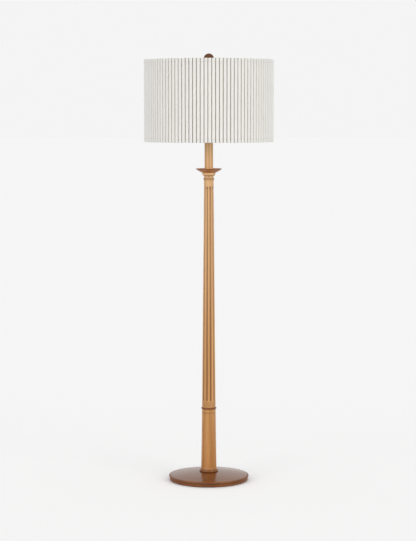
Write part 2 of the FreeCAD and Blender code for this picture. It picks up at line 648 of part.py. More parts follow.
def switch_bushing():
    """The threaded collar on the shell that the switch spindle comes out of."""
    inner = SPINDLE_RADIUS + RUNNING_FIT
    y_out = -SHELL_RADIUS - SWITCH_BUSHING_LENGTH
    collar = rod_y(SWITCH_BUSHING_RADIUS, y_out, 0, Z_SPINDLE).cut(rod(SHELL_RADIUS, Z_SHELL, Z_MOUTH))
    neck = rod_y(SWITCH_BUSHING_RADIUS - SPINDLE_HOLE_ROOM, -SHELL_RADIUS, -CORE_RADIUS, Z_SPINDLE)
    neck = neck.cut(rod(CORE_RADIUS, Z_SHELL, Z_MOUTH))
    neck = neck.common(rod(SHELL_RADIUS, Z_SHELL, Z_MOUTH))
    return collar.fuse(neck).cut(rod_y(inner, y_out, 0, Z_SPINDLE)).removeSplitter()


def switch_spindle():
    y_out = -SHELL_RADIUS - SWITCH_BUSHING_LENGTH - KNOB_STEM - KNOB_BORE_DEPTH
    return rod_y(SPINDLE_RADIUS, y_out, -SPINDLE_INNER, Z_SPINDLE)


def switch_knob():
    """A round collar that runs into a flat paddle for two fingers."""
    y_near = -SHELL_RADIUS - SWITCH_BUSHING_LENGTH - KNOB_STEM
    y_far = y_near - KNOB_LENGTH
    knob = rod_y(KNOB_RADIUS, y_far, y_near, Z_SPINDLE)
    half = KNOB_FLAT / 2
    y_flat = y_near - KNOB_COLLAR
    for side in (-1, 1):
        x0, x1 = sorted((side * half, side * 2 * KNOB_RADIUS))
        knob = knob.cut(block(x0, x1, y_far, y_flat, Z_SPINDLE - 2 * KNOB_RADIUS, Z_SPINDLE + 2 * KNOB_RADIUS))
    return knob.cut(rod_y(SPINDLE_RADIUS, y_near - KNOB_BORE_DEPTH, y_near, Z_SPINDLE))


# ---------------------------------------------------------------- bulb pieces
def bulb_outline(inset):
    """The glass, from its neck inside the screw cap up to the crown, set in by a wall."""
    z_cap = Z_BULB + BULB_CONTACT_HEIGHT + BULB_CAP_HEIGHT
    z_ball = Z_BULB + BULB_LENGTH - BULB_RADIUS
    radius = BULB_RADIUS - inset
    neck = BULB_NECK_RADIUS - inset
    z_neck = z_cap + BULB_NECK_RISE
    low = math.radians(-28)
    shoulder = (radius * math.cos(low), z_ball + radius * math.sin(low))
    return turned(
        (0, z_cap), (BULB_CAP_RADIUS - 1 - inset, z_cap), (neck, z_cap + BULB_NECK_RISE / 4), (neck, z_neck),
        (bulge((neck, z_neck), shoulder, 1.2), shoulder),
        ((radius * math.cos(0.5), z_ball + radius * math.sin(0.5)), (0, z_ball + radius)))


def bulb_glass():
    z_cap = Z_BULB + BULB_CONTACT_HEIGHT + BULB_CAP_HEIGHT
    hollow = bulb_outline(BULB_WALL)
    hollow = hollow.cut(rod(BULB_RADIUS, z_cap - 1, z_cap + BULB_WALL))
    return bulb_outline(0).cut(hollow)


def bulb_cap():
    """The screw cap, with its dark insulator necked in towards the contact."""
    z_cap = Z_BULB + BULB_CONTACT_HEIGHT
    z_top = z_cap + BULB_CAP_HEIGHT
    return turned(
        (0, z_cap), (BULB_CONTACT_RADIUS + 1, z_cap), (BULB_CAP_RADIUS - 2.5, z_cap + 3),
        (BULB_CAP_RADIUS, z_cap + 4.5), (BULB_CAP_RADIUS, z_top), (0, z_top))


def bulb_contact():
    z_top = Z_BULB + BULB_CONTACT_HEIGHT
    return turned(
        (0, Z_BULB), (BULB_CONTACT_RADIUS / 2, Z_BULB), (BULB_CONTACT_RADIUS, Z_BULB + BULB_CONTACT_HEIGHT / 2),
        (BULB_CONTACT_RADIUS, z_top), (0, z_top))


# ---------------------------------------------------------------- harp pieces
def harp_saddle():
    """A strip clamped under the socket, with its ends doubled and turned up into ears."""
    z_ear = Z_LEDGE + EAR_HEIGHT
    half = SADDLE_WIDTH / 2
    ledge_out = EAR_OUTER + SADDLE_THICKNESS
    saddle = block(-ledge_out, ledge_out, -half, half, Z_SADDLE, Z_SOCKET)
    for side in (-1, 1):
        x0, x1 = sorted((side * SADDLE_HALF, side * ledge_out))
        saddle = saddle.fuse(block(x0, x1, -LEDGE_WIDTH / 2, LEDGE_WIDTH / 2, Z_SADDLE, Z_LEDGE))
        x0, x1 = sorted((side * SADDLE_HALF, side * EAR_OUTER))
        saddle = saddle.fuse(block(x0, x1, -EAR_WIDTH / 2, EAR_WIDTH / 2, Z_LEDGE, z_ear))
    saddle = saddle.removeSplitter()
    return saddle.cut(rod(PIPE_RADIUS + SCREW_FIT, Z_SADDLE, Z_SOCKET))


def harp_bow():
    """One wire, up from the saddle, out round the bulb and over in a flat arch."""
    z_foot = Z_LEDGE + SEAT_GAP
    z_spread = Z_LEDGE + HARP_STRAIGHT
    z_wide = z_spread + HARP_SPREAD_HEIGHT
    points = [
        at(-LEG_X, 0, z_foot), at(-LEG_X, 0, z_spread), at(-HARP_HALF_WIDTH, 0, z_wide),
        at(-HARP_HALF_WIDTH, 0, Z_HARP_TOP), at(HARP_HALF_WIDTH, 0, Z_HARP_TOP),
        at(HARP_HALF_WIDTH, 0, z_wide), at(LEG_X, 0, z_spread), at(LEG_X, 0, z_foot)]
    bends = [HARP_FOOT_BEND, HARP_FOOT_BEND, HARP_SHOULDER_BEND]
    return bent_wire(points, bends + bends[::-1], HARP_WIRE_RADIUS)


def harp_sleeve(side):
    """A ferrule that drops over one ear and the foot of the wire beside it."""
    reach = LEG_X + HARP_WIRE_RADIUS
    middle = (SADDLE_HALF + reach) / 2
    inner = math.hypot((reach - SADDLE_HALF) / 2, EAR_WIDTH / 2) + SLEEVE_FIT
    outer = inner + SLEEVE_BODY_WALL
    z0 = Z_LEDGE + SEAT_GAP
    sleeve = turned(
        (inner, z0), (outer + SLEEVE_FLANGE, z0), (outer + SLEEVE_FLANGE, z0 + SLEEVE_FLANGE_HEIGHT),
        (outer, z0 + SLEEVE_FLANGE_HEIGHT + SLEEVE_FLANGE), (outer, z0 + SLEEVE_LENGTH),
        (inner, z0 + SLEEVE_LENGTH))
    sleeve.translate(at(side * middle, 0, 0))
    return sleeve


def harp_collar():
    """The block that grips the top of the wire and holds the swivel."""
    z0 = Z_HARP_TOP - HARP_COLLAR_BELOW
    z1 = Z_HARP_TOP + HARP_COLLAR_ABOVE
    collar = turned(
        (0, z0), (HARP_COLLAR_RADIUS - 1, z0), (HARP_COLLAR_RADIUS, z0 + 1), (HARP_COLLAR_RADIUS, z1), (0, z1))
    wire_hole = Part.makeCylinder(
        HARP_WIRE_RADIUS, 4 * HARP_COLLAR_RADIUS, at(-2 * HARP_COLLAR_RADIUS, 0, Z_HARP_TOP), at(1, 0, 0))
    collar = collar.cut(wire_hole)
    return collar.cut(rod(PIVOT_RADIUS + RUNNING_FIT, z1 - PIVOT_LENGTH, z1))


def harp_stud():
    """The swivelling seat: a pivot below, a plate, and the stud that the finial screws on to."""
    z_plate_top = Z_PLATE + PLATE_THICKNESS
    z_top = z_plate_top + STUD_HEIGHT
    edge = 0.6
    return turned(
        (0, Z_PLATE - PIVOT_LENGTH), (PIVOT_RADIUS, Z_PLATE - PIVOT_LENGTH), (PIVOT_RADIUS, Z_PLATE),
        (PLATE_RADIUS, Z_PLATE), (PLATE_RADIUS, z_plate_top - edge), (PLATE_RADIUS - edge, z_plate_top),
        (STUD_RADIUS, z_plate_top), (STUD_RADIUS, z_top - edge), (STUD_RADIUS - edge, z_top), (0, z_top))


# ---------------------------------------------------------------- shade pieces
def wire_ring(z):
    return Part.makeTorus(RING_RADIUS, RING_WIRE_RADIUS, at(0, 0, z))


def spider_ring():
    """The upper ring of the shade, with three arms down to the washer at its middle."""
    z_arm = Z_WASHER + SPIDER_WIRE_RADIUS
    z_ring = Z_SHADE_TOP - RING_INSET
    points = [
        at(SPIDER_WASHER_RADIUS - 2, 0, z_arm), at(RING_RADIUS - SPIDER_RISE_RUN, 0, z_arm),
        at(RING_RADIUS, 0, z_ring)]
    arm = bent_wire(points, [SPIDER_BEND], SPIDER_WIRE_RADIUS)
    washer = rod(SPIDER_WASHER_RADIUS, Z_WASHER, Z_WASHER_TOP)
    hole = rod(STUD_RADIUS + SPIDER_HOLE_ROOM, Z_WASHER - 5, Z_WASHER_TOP + 5)
    arms = []
    for piece in around(arm, SPIDER_ARMS, 90):
        arms.append(piece.common(tube(2 * RING_RADIUS, STUD_RADIUS + SPIDER_HOLE_ROOM, 0, 2 * z_ring)))
    frame = wire_ring(z_ring).fuse(arms + [washer])
    return frame.cut(hole)


def lower_ring():
    return wire_ring(Z_SHADE + RING_INSET)


def shade_liner():
    return tube(LINER_OUTER, LINER_INNER, Z_SHADE, Z_SHADE_TOP)


def edge_tapes():
    """A tape inside each edge, between the liner and its ring."""
    low = tube(LINER_INNER, BAND_INNER, Z_SHADE, Z_SHADE + EDGE_BAND_HEIGHT)
    high = tube(LINER_INNER, BAND_INNER, Z_SHADE_TOP - EDGE_BAND_HEIGHT, Z_SHADE_TOP)
    return Part.makeCompound([low, high])


def pleat_section(inset):
    """One closed outline of every pleat, moved inwards through the sheet by inset."""
    pitch = 2 * math.pi / PLEAT_COUNT
    ridge_edge = SHADE_RADIUS - PLEAT_CROWN - inset
    crown = SHADE_RADIUS - inset
    valley = COVER_INNER_RADIUS - inset
    ridge_half = (PLEAT_RIDGE / 2 - inset) / ridge_edge
    valley_half = (PLEAT_VALLEY / 2 + inset) / valley
    outline = []
    for n in range(PLEAT_COUNT):
        middle = math.radians(-90 + PLEAT_TURN) + n * pitch
        pleat = (
            (-ridge_half, ridge_edge), (0, crown), (ridge_half, ridge_edge),
            (pitch / 2 - valley_half, valley), (pitch / 2 + valley_half, valley))
        for offset, radius in pleat:
            angle = middle + offset
            outline.append(at(radius * math.cos(angle), radius * math.sin(angle), Z_SHADE))
    outline.append(outline[0])
    return Part.makePolygon(outline)


def pleated_cover():
    """A folded sheet round the liner: broad ridges, narrow valleys that touch the liner."""
    sections = [pleat_section(0), pleat_section(COVER_WALL)]
    sheet = Part.makeFace(sections, "Part::FaceMakerBullseye")
    return sheet.extrude(at(0, 0, SHADE_HEIGHT))


# ---------------------------------------------------------------- finial pieces
def finial_ball():
    z_centre = Z_FINIAL + FINIAL_HEIGHT - FINIAL_RADIUS
    neck_rise = FINIAL_RADIUS - math.sqrt(FINIAL_RADIUS ** 2 - FINIAL_NECK_RADIUS ** 2)
    ball_foot = (FINIAL_NECK_RADIUS, z_centre - FINIAL_RADIUS + neck_rise)
    foot = (FINIAL_FOOT_RADIUS, Z_FINIAL + 1)
    ball = turned(
        (0, Z_FINIAL), (FINIAL_FOOT_RADIUS - 0.6, Z_FINIAL), foot, (bulge(foot, ball_foot, 0.5), ball_foot),
        ((FINIAL_RADIUS, z_centre), (0, z_centre + FINIAL_RADIUS)))
    return ball.cut(rod(INSERT_RADIUS + GLUE_FIT, Z_FINIAL, Z_FINIAL + INSERT_LENGTH))


def finial_insert():
    z_top = Z_FINIAL + INSERT_LENGTH
    stud_top = Z_PLATE + PLATE_THICKNESS + STUD_HEIGHT
    insert = rod(INSERT_RADIUS, Z_FINIAL, z_top)
    return insert.cut(rod(STUD_RADIUS + INSERT_FIT, Z_FINIAL, max(z_top, stud_top + STUD_ROOM)))


# ---------------------------------------------------------------- the lamp
PIECES = {
    "felt_pad": felt_pad,
    "base_disc": base_disc,
    "base_weight": base_weight,
    "weight_screws": weight_screws,
    "pipe_washer": pipe_washer,
    "pipe_nut": pipe_nut,
    "cord_bushing": cord_bushing,
    "lower_column": lower_column,
    "collar_ring": collar_ring,
    "fluted_shaft": fluted_shaft,
    "capital": capital,
    "drip_dish": drip_dish,
    "neck_tube": neck_tube,
    "lamp_pipe": lamp_pipe,
    "check_ring": check_ring,
    "harp_saddle": harp_saddle,
    "socket_cap": socket_cap,
    "socket_shell": socket_shell,
    "socket_sleeve": socket_sleeve,
    "socket_core": socket_core,
    "screw_shell": screw_shell,
    "contact_tongue": contact_tongue,
    "switch_bushing": switch_bushing,
    "switch_spindle": switch_spindle,
    "switch_knob": switch_knob,
    "bulb_glass": bulb_glass,
    "bulb_cap": bulb_cap,
    "bulb_contact": bulb_contact,
    "harp_bow": harp_bow,
    "harp_collar": harp_collar,
    "harp_stud": harp_stud,
    "spider_ring": spider_ring,
    "lower_ring": lower_ring,
    "shade_liner": shade_liner,
    "edge_tapes": edge_tapes,
    "pleated_cover": pleated_cover,
    "finial_ball": finial_ball,
    "finial_insert": finial_insert,
}


def main():
    os.makedirs("parts", exist_ok=True)
    shapes = {name: make() for name, make in PIECES.items()}
    for name, side in (("harp_sleeve_left", -1), ("harp_sleeve_right", 1)):
        shapes[name] = harp_sleeve(side)
    for name, shape in shapes.items():
        if not shape.isValid():
            raise ValueError(name + " is not a valid solid")
        shape.exportStep("parts/" + name + ".step")
        box = shape.BoundBox
        print(name, len(shape.Solids), "solid(s), z", round(box.ZMin, 2), "to", round(box.ZMax, 2))


main()
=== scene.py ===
import math

import bmesh
import bpy
from bpy.props import FloatProperty, FloatVectorProperty, IntProperty, PointerProperty
from mathutils import Matrix, Vector, noise


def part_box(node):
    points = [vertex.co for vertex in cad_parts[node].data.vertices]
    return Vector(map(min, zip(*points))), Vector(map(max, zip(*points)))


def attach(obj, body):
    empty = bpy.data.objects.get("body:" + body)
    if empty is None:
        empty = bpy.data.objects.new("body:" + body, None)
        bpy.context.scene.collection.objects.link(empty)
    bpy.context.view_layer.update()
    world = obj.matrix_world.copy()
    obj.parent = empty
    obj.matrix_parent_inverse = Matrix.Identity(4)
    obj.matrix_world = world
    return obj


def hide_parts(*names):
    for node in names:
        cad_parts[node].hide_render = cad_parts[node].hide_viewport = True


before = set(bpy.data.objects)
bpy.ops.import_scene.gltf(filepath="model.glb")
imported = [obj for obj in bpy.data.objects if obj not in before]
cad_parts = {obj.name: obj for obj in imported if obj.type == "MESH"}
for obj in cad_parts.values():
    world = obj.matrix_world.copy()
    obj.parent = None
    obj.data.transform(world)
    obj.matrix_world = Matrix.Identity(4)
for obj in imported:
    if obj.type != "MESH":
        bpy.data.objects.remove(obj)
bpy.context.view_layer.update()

bl_info = {
    "name": "Fluted Column Floor Lamp",
    "version": (1, 0, 0),
    "blender": (4, 5, 0),
    "location": "3D View > Sidebar > Lamp",
    "description": "Dresses the floor lamp's frame in wood, brass, glass and pleated cloth",
    "category": "Object",
}

MM = 0.001
ORIGIN = (0, 0, 0)
UP = (0, 0, 1)

# How much fibres, rings, clouds and streaks add to the tone between a wood's light and its dark
TONE_START, FIBRE_TONE, RING_TONE, CLOUD_TONE, STREAK_TONE = -0.09, 0.45, 0.32, 0.35, 0.52

# Radii of the base: where its flat top ends, and the middle of its rounded lip
BASE_FLAT, BASE_LIP = 140 * MM, 142.5 * MM

# The two soft lights in front: how far to the side they stand and how broad they look. They are
# suns, so their distance in metres only says where they are drawn.
KEY_ASIDE, KEY_SPREAD, KEY_DISTANCE = math.radians(43), math.radians(36), 5
# The two tall strips beside the lamp, in metres
STRIP_ASIDE, STRIP_DISTANCE, STRIP_MIDDLE = math.radians(46), 1.7, 1.0
STRIP_WIDTH, STRIP_HEIGHT = 0.22, 1.0
# Half the floor's width in metres, which puts its edge at the horizon, and how far the camera sees
FLOOR_REACH, CAMERA_REACH = 90.0, 200.0


# ---------------------------------------------------------------- measures read from the frame
def low(node):
    return Vector(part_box(node)[0])


def high(node):
    return Vector(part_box(node)[1])


def radius_of(node):
    """Half the width of a turned node."""
    return (high(node).x - low(node).x) / 2


# ---------------------------------------------------------------- sizes and colours to change
def length(name, description, default):
    return FloatProperty(
        name=name, description=description, default=default, unit="LENGTH", subtype="DISTANCE")


def angle(name, description, degrees):
    return FloatProperty(
        name=name, description=description, default=math.radians(degrees), unit="ROTATION",
        subtype="ANGLE")


def level(name, description, default, most):
    return FloatProperty(name=name, description=description, default=default, min=0, max=most)


def colour(name, description, default):
    return FloatVectorProperty(
        name=name, description=description, default=default, subtype="COLOR", size=3, min=0,
        max=1)


class LampShadeSettings(bpy.types.PropertyGroup):
    pleat_count: IntProperty(
        name="Pleats", description="Number of pleats round the shade", default=108, min=24, max=240)
    pleat_turn: angle(
        "Pleat Turn", "How far the front ridge stands to the right of the front", 0.8)
    ridge_width: length("Ridge Width", "Width of the flat ridge of a pleat", 9.3 * MM)
    valley_width: length("Valley Width", "Width of the floor between two pleats", 1.3 * MM)
    pleat_depth: length("Pleat Depth", "From the edge of a ridge down to the valley", 5.0 * MM)
    crown: length("Crown", "How far the middle of a ridge stands above its edges", 0.5 * MM)
    cloth_thickness: length("Cloth Thickness", "Thickness of the pleated cloth", 0.6 * MM)
    hem: length("Hem", "Height of the turned hem at both rims", 12.5 * MM)
    unevenness: length("Unevenness", "How far a fold strays from a straight line", 0.45 * MM)
    cloth: colour("Cloth", "Colour of the pleated cloth", (0.905, 0.895, 0.862))
    # Painted shade: the warm colour down a pleat's walls and the dark colour deep in its folds
    # stand in for the shade and warm bounce between the pleats
    painted_wall_shade: colour(
        "Cloth on the Walls", "Colour of the cloth down the sides of a pleat", (0.80, 0.735, 0.62))
    painted_fold_shade: colour(
        "Cloth in the Folds", "Colour of the cloth deep in a fold", (0.21, 0.145, 0.075))


class LampWoodSettings(bpy.types.PropertyGroup):
    column_light: colour("Column Light", "Early wood of the column", (0.68, 0.365, 0.150))
    column_dark: colour("Column Dark", "Late wood of the column", (0.46, 0.215, 0.070))
    # Colour of the painted shade in the column's grooves, joints and under its rings
    column_painted_shade: colour("Column Grooves", "Patina in the column's grooves", (0.16, 0.052, 0.014))
    base_light: colour("Base Light", "Early wood of the base", (0.265, 0.078, 0.017))
    base_dark: colour("Base Dark", "Late wood of the base", (0.145, 0.036, 0.007))
    finial_light: colour("Finial Light", "Early wood of the finial", (0.190, 0.068, 0.026))
    finial_dark: colour("Finial Dark", "Late wood of the finial", (0.090, 0.029, 0.010))
    ring_spacing: length("Ring Spacing", "Distance between growth rings", 3.4 * MM)


class LampMetalSettings(bpy.types.PropertyGroup):
    brass: colour("Brass", "Satin lacquered brass", (0.78, 0.56, 0.25))
    zinc: colour("Zinc", "Zinc plated steel", (0.62, 0.63, 0.64))
    aluminium: colour("Aluminium", "Drawn aluminium", (0.78, 0.78, 0.79))
    thread_pitch: length("Bulb Thread", "Rise of the bulb's thread in one turn", 3.6 * MM)
    stud_pitch: length("Stud Thread", "Rise of the harp stud's thread in one turn", 0.94 * MM)


class LampStageSettings(bpy.types.PropertyGroup):
    camera_distance: length("Camera Distance", "From the lens to the lamp's axis", 6.2525)
    camera_height: length("Camera Height", "Height of the lens above the floor", 1.332)
    camera_aside: length("Camera Aside", "How far the lens stands to the right of the lamp", -0.003)
    camera_tilt: angle("Camera Tilt", "How far the camera looks down", 5.16)
    focal_length: FloatProperty(
        name="Focal Length", description="For a 36 mm sensor along the picture's long side, in mm",
        default=115.45, min=10, max=500)
    sky_light: level("Sky Light", "Strength of the even light from all round", 0.71, 3)
    key_light: level("Key Light", "Strength of each of the two soft lights in front", 1.06, 10)
    key_rise: angle("Key Rise", "How far above level the two soft lights stand, on average", 7)
    key_balance: angle(
        "Key Balance", "How far the right one stands above that average, and the left one below", 3)
    strip_light: level(
        "Strip Light", "Power of each tall strip that draws a highlight down the column, in W",
        24.0, 200)
    backdrop: level("Backdrop", "Brightness of the backdrop as the camera sees it", 0.909, 1)
    floor: level("Floor", "Brightness of the floor as the camera sees it", 1.137, 4)
    floor_bounce: colour(
        "Floor Bounce", "Colour of the floor as it lights the lamp from below", (0.6, 0.6, 0.6))


# ---------------------------------------------------------------- material helpers
class NodeDesk:
    """Lays out the nodes of one material, or of a world."""

    def __init__(self, name, store=None, output="OutputMaterial"):
        store = bpy.data.materials if store is None else store
        self.owner = store.new(name)
        self.owner.use_nodes = True
        self.tree = self.owner.node_tree
        self.tree.nodes.clear()
        self.output = self.add(output)

    def add(self, kind, inputs=None, **settings):
        """A node of a kind. Inputs are numbers, colours or the output sockets of other nodes."""
        node = self.tree.nodes.new("ShaderNode" + kind)
        for key, value in settings.items():
            setattr(node, key, value)
        for key, value in (inputs or {}).items():
            if isinstance(value, bpy.types.NodeSocket):
                self.tree.links.new(value, node.inputs[key])
            else:
                node.inputs[key].default_value = value
        return node

    def math(self, operation, first, second=0.0, third=0.0):
        return self.add("Math", {0: first, 1: second, 2: third}, operation=operation).outputs[0]

    def largest(self, first, *others):
        for value in others:
            first = self.math("MAXIMUM", first, value)
        return first

    def place(self):
        return self.add("TexCoord").outputs["Object"]

    def mapped(self, vector, scale=(1, 1, 1), turn=(0, 0, 0), shift=(0, 0, 0)):
        return self.add("Mapping", {
            "Vector": vector, "Location": shift, "Rotation": turn, "Scale": scale}).outputs[0]

    def noise(self, vector, scale, detail=2.0, roughness=0.5):
        node = self.add("TexNoise", {
            "Vector": self.mapped(vector, scale), "Scale": 1.0, "Detail": detail,
            "Roughness": roughness})
        return node.outputs["Fac"]

    def height(self):
        """Height above the floor."""
        return self.add("SeparateXYZ", {0: self.place()}).outputs["Z"]

    def from_axis(self):
        """Distance from the lamp's axis."""
        flat = self.mapped(self.place(), scale=(1, 1, 0))
        return self.add("VectorMath", {0: flat}, operation="LENGTH").outputs["Value"]

    def ramp(self, factor, stops):
        node = self.add("ValToRGB", {"Fac": factor})
        elements = node.color_ramp.elements
        while len(elements) < len(stops):
            elements.new(0.5)
        for element, (position, tint) in zip(elements, stops):
            element.position = position
            element.color = tuple(tint) + (1.0,)
        return node.outputs["Color"]

    def span(self, factor, start, end, low_value=0.0, high_value=1.0):
        """Stretches start..end of a value over low_value..high_value."""
        return self.add("MapRange", {
            "Value": factor, "From Min": start, "From Max": end, "To Min": low_value,
            "To Max": high_value}).outputs[0]

    def near(self, value, centre, reach):
        """1 where a value equals centre, falling to 0 at reach from it."""
        gap = self.math("ABSOLUTE", self.math("SUBTRACT", value, centre))
        return self.span(gap, reach, 0.0)

    def mix(self, factor, first, second, blend="MIX"):
        node = self.add("Mix", data_type="RGBA", blend_type=blend)
        sockets = (node.inputs[0], node.inputs[6], node.inputs[7])
        for socket, value in zip(sockets, (factor, first, second)):
            if isinstance(value, bpy.types.NodeSocket):
                self.tree.links.new(value, socket)
            elif isinstance(value, (int, float)):
                socket.default_value = value
            else:
                socket.default_value = tuple(value) + (1.0,)
        return node.outputs[2]

    def bump(self, height, distance, strength=1.0):
        return self.add(
            "Bump", {"Height": height, "Distance": distance, "Strength": strength}).outputs[0]

    def looked_at(self):
        """1 for a ray from the camera, also by way of a reflection or through glass, else 0."""
        path = self.add("LightPath").outputs
        return self.largest(
            path["Is Camera Ray"], path["Is Glossy Ray"], path["Is Transmission Ray"])

    def end_in(self, shader):
        """Links a shader to the output, and returns the material or the world."""
        self.tree.links.new(shader.outputs[0], self.output.inputs["Surface"])
        return self.owner

    def finish(self, **inputs):
        """Ends a material in a Principled shader. Underscores in a name stand for spaces."""
        named = {key.replace("_", " "): value for key, value in inputs.items()}
        return self.end_in(self.add("BsdfPrincipled", named))


def darker(tint, share):
    return [channel * share for channel in tint]


def stained(tint, stain_and_light_share):
    """A wood colour under staining and painted light, which are given as a share of each channel.
    """
    return [min(1.0, channel * share) for channel, share in zip(tint, stain_and_light_share)]


def wood(name, light, dark, groove, turn=ORIGIN, pith=ORIGIN, roughness=0.36, gloss=0.22,
         glow=(1, 1, 1), rough_side=None, painted_light_by_height=None, painted_shade_and_darkening=None):
    """Satin lacquered wood, with its grain along Z before the turn.

    pith is how far the grain's middle lies from the lamp's axis. groove is the colour of the
    painted shade and darkening, and painted_shade_and_darkening(desk) gives where that goes.
    rough_side is the two distances from the axis between which the lacquer turns matt.
    painted_light_by_height is (start, end, stain_and_light_share): painted light that grows with
    height from start to end, brighter towards the top as if lit from above.
    """
    spacing = bpy.context.scene.lamp_wood.ring_spacing
    desk = NodeDesk(name)
    grain = desk.mapped(desk.place(), turn=turn, shift=pith)
    rings = desk.add("TexWave", {
        "Vector": desk.mapped(grain, (1, 1, 0.06)), "Scale": math.pi / (10 * spacing),
        "Distortion": 8.5, "Detail": 2.0, "Detail Scale": 0.35, "Detail Roughness": 0.55},
        wave_type="RINGS", rings_direction="Z", wave_profile="SIN").outputs["Fac"]
    fibres = desk.noise(grain, (900, 900, 14), detail=3)
    pores = desk.noise(grain, (1700, 1700, 75), detail=1)
    cloud = desk.noise(grain, (14, 14, 2.2))
    streak = desk.span(desk.noise(grain, (105, 105, 1.5)), 0.3, 0.7)
    late = desk.math("POWER", rings, 1.6)
    tone = TONE_START
    for mark, share in ((fibres, FIBRE_TONE), (late, RING_TONE), (cloud, CLOUD_TONE),
                        (streak, STREAK_TONE)):
        tone = desk.math("MULTIPLY_ADD", mark, share, tone)
    middle = [(a + b) / 2 for a, b in zip(light, dark)]
    tint = desk.ramp(tone, ((0.38, light), (0.68, middle), (0.98, dark)))
    pore_mask = desk.math(
        "MULTIPLY", desk.span(pores, 0.64, 0.74), desk.span(late, 0.1, 0.8, 0.35, 1.0))
    tint = desk.mix(desk.math("MULTIPLY", pore_mask, 0.7), tint, darker(dark, 0.42))
    # Painted light: brighter towards the top, standing in for light falling from above
    if painted_light_by_height is not None:
        start, end, stain_and_light_share = painted_light_by_height
        tint = desk.mix(
            desk.span(desk.height(), start, end), tint, desk.mix(1.0, tint, stain_and_light_share, "MULTIPLY"))
    # Painted shade and some plain darkening: the groove colour mixed in where the mask says, patchy
    # with the clouds
    if painted_shade_and_darkening is not None:
        patchy = desk.math("MULTIPLY", painted_shade_and_darkening(desk), desk.span(cloud, 0.2, 0.8, 1.0, 0.7))
        tint = desk.mix(patchy, tint, groove)
    relief = desk.math("SUBTRACT", desk.math("MULTIPLY", fibres, 0.25), pore_mask)
    worn = desk.span(cloud, 0.2, 0.8, roughness - 0.05, roughness + 0.07)
    if rough_side is not None:
        matt = desk.math("MULTIPLY", desk.span(desk.from_axis(), *rough_side), 0.3)
        worn = desk.math("ADD", worn, matt)
    return desk.finish(
        Base_Color=tint, Roughness=worn, Normal=desk.bump(relief, 0.08 * MM, 0.6),
        Specular_IOR_Level=gloss, Specular_Tint=tuple(glow) + (1,))


def metal(name, tint, roughness=0.28, streaks=(260, 260, 260)):
    """Bare or plated metal with fine wiping marks and faint tarnish."""
    desk = NodeDesk(name)
    scratches = desk.noise(desk.place(), streaks, detail=4)
    spots = desk.noise(desk.place(), (70, 70, 70), detail=3)
    return desk.finish(
        Base_Color=desk.ramp(spots, ((0.35, tint), (0.75, darker(tint, 0.74)))), Metallic=1.0,
        Roughness=desk.span(scratches, 0.25, 0.75, roughness - 0.07, roughness + 0.1),
        Normal=desk.bump(scratches, 0.02 * MM, 0.4))


def painted(name, tint, roughness=0.42, peel=900):
    """Powder coat or dipped paint with a faint orange peel."""
    desk = NodeDesk(name)
    skin = desk.noise(desk.place(), (peel, peel, peel), detail=1)
    patch = desk.noise(desk.place(), (40, 40, 40))
    return desk.finish(
        Base_Color=desk.ramp(patch, ((0.3, tint), (0.8, darker(tint, 0.9)))),
        Roughness=desk.span(patch, 0.2, 0.8, roughness - 0.04, roughness + 0.06),
        Normal=desk.bump(skin, 0.04 * MM, 0.5))


def moulded(name, tint, roughness=0.35):
    """Moulded plastic or pressed board with a fine spark finish."""
    desk = NodeDesk(name)
    grain = desk.noise(desk.place(), (2200, 2200, 2200), detail=1)
    patch = desk.noise(desk.place(), (60, 60, 60))
    paler = [min(1.0, channel * 1.3 + 0.003) for channel in tint]
    return desk.finish(
        Base_Color=desk.ramp(patch, ((0.3, tint), (0.8, paler))),
        Roughness=desk.span(patch, 0.2, 0.8, roughness - 0.05, roughness + 0.06),
        Normal=desk.bump(grain, 0.02 * MM, 0.5))


def weave(desk, thread):
    """Height of a plain weave, and its slubs, on the UV map called cloth, which is in metres."""
    uv = desk.add("UVMap", uv_map="cloth").outputs[0]
    crossed = []
    for direction in "XY":
        wave = desk.add("TexWave", {
            "Vector": uv, "Scale": math.pi / (10 * thread), "Distortion": 0.6, "Detail": 1.0},
            wave_type="BANDS", bands_direction=direction)
        crossed.append(wave.outputs["Fac"])
    slubs = desk.math("MULTIPLY", desk.noise(uv, (160, 1100, 1)), desk.noise(uv, (1100, 120, 1)))
    return desk.math("MULTIPLY_ADD", slubs, 0.8, desk.math("MULTIPLY", *crossed)), slubs


def woven(name, tint, thread):
    """Plain woven cloth or tape."""
    desk = NodeDesk(name)
    relief, slubs = weave(desk, thread)
    return desk.finish(
        Base_Color=desk.ramp(slubs, ((0.12, darker(tint, 0.9)), (0.32, tint))), Roughness=0.9,
        Sheen_Weight=0.15, Sheen_Roughness=0.5, Specular_IOR_Level=0.25,
        Normal=desk.bump(relief, 0.12 * MM, 0.6))


# ---------------------------------------------------------------- shape helpers
def smooth(mesh, angle=35):
    for polygon in mesh.polygons:
        polygon.use_smooth = True
    mesh.set_sharp_from_angle(angle=math.radians(angle))


def make_piece(name, bm, body, material, replaces=(), angle=35):
    """Turns a finished bmesh into a named piece that rides on a body."""
    mesh = bpy.data.meshes.new(name)
    bm.to_mesh(mesh)
    bm.free()
    smooth(mesh, angle)
    mesh.materials.append(material)
    piece = bpy.data.objects.new(name, mesh)
    bpy.context.scene.collection.objects.link(piece)
    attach(piece, body)
    if replaces:
        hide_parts(*replaces)
    return piece


def close_up(bm):
    """Merges doubles and points the faces of a closed shape outwards."""
    bmesh.ops.remove_doubles(bm, verts=bm.verts, dist=0.001 * MM)
    bmesh.ops.recalc_face_normals(bm, faces=bm.faces)


def turn_profile(bm, points, steps, closed=False):
    """Turns an outline of (radius, height) points about the lamp's axis."""
    verts = [bm.verts.new((radius, 0, height)) for radius, height in points]
    pairs = list(zip(verts, verts[1:]))
    if closed:
        pairs.append((verts[-1], verts[0]))
    edges = [bm.edges.new(pair) for pair in pairs]
    bmesh.ops.spin(
        bm, geom=verts + edges, cent=ORIGIN, axis=UP, angle=2 * math.pi, steps=steps,
        use_merge=True)
    bmesh.ops.remove_doubles(bm, verts=bm.verts, dist=0.001 * MM)


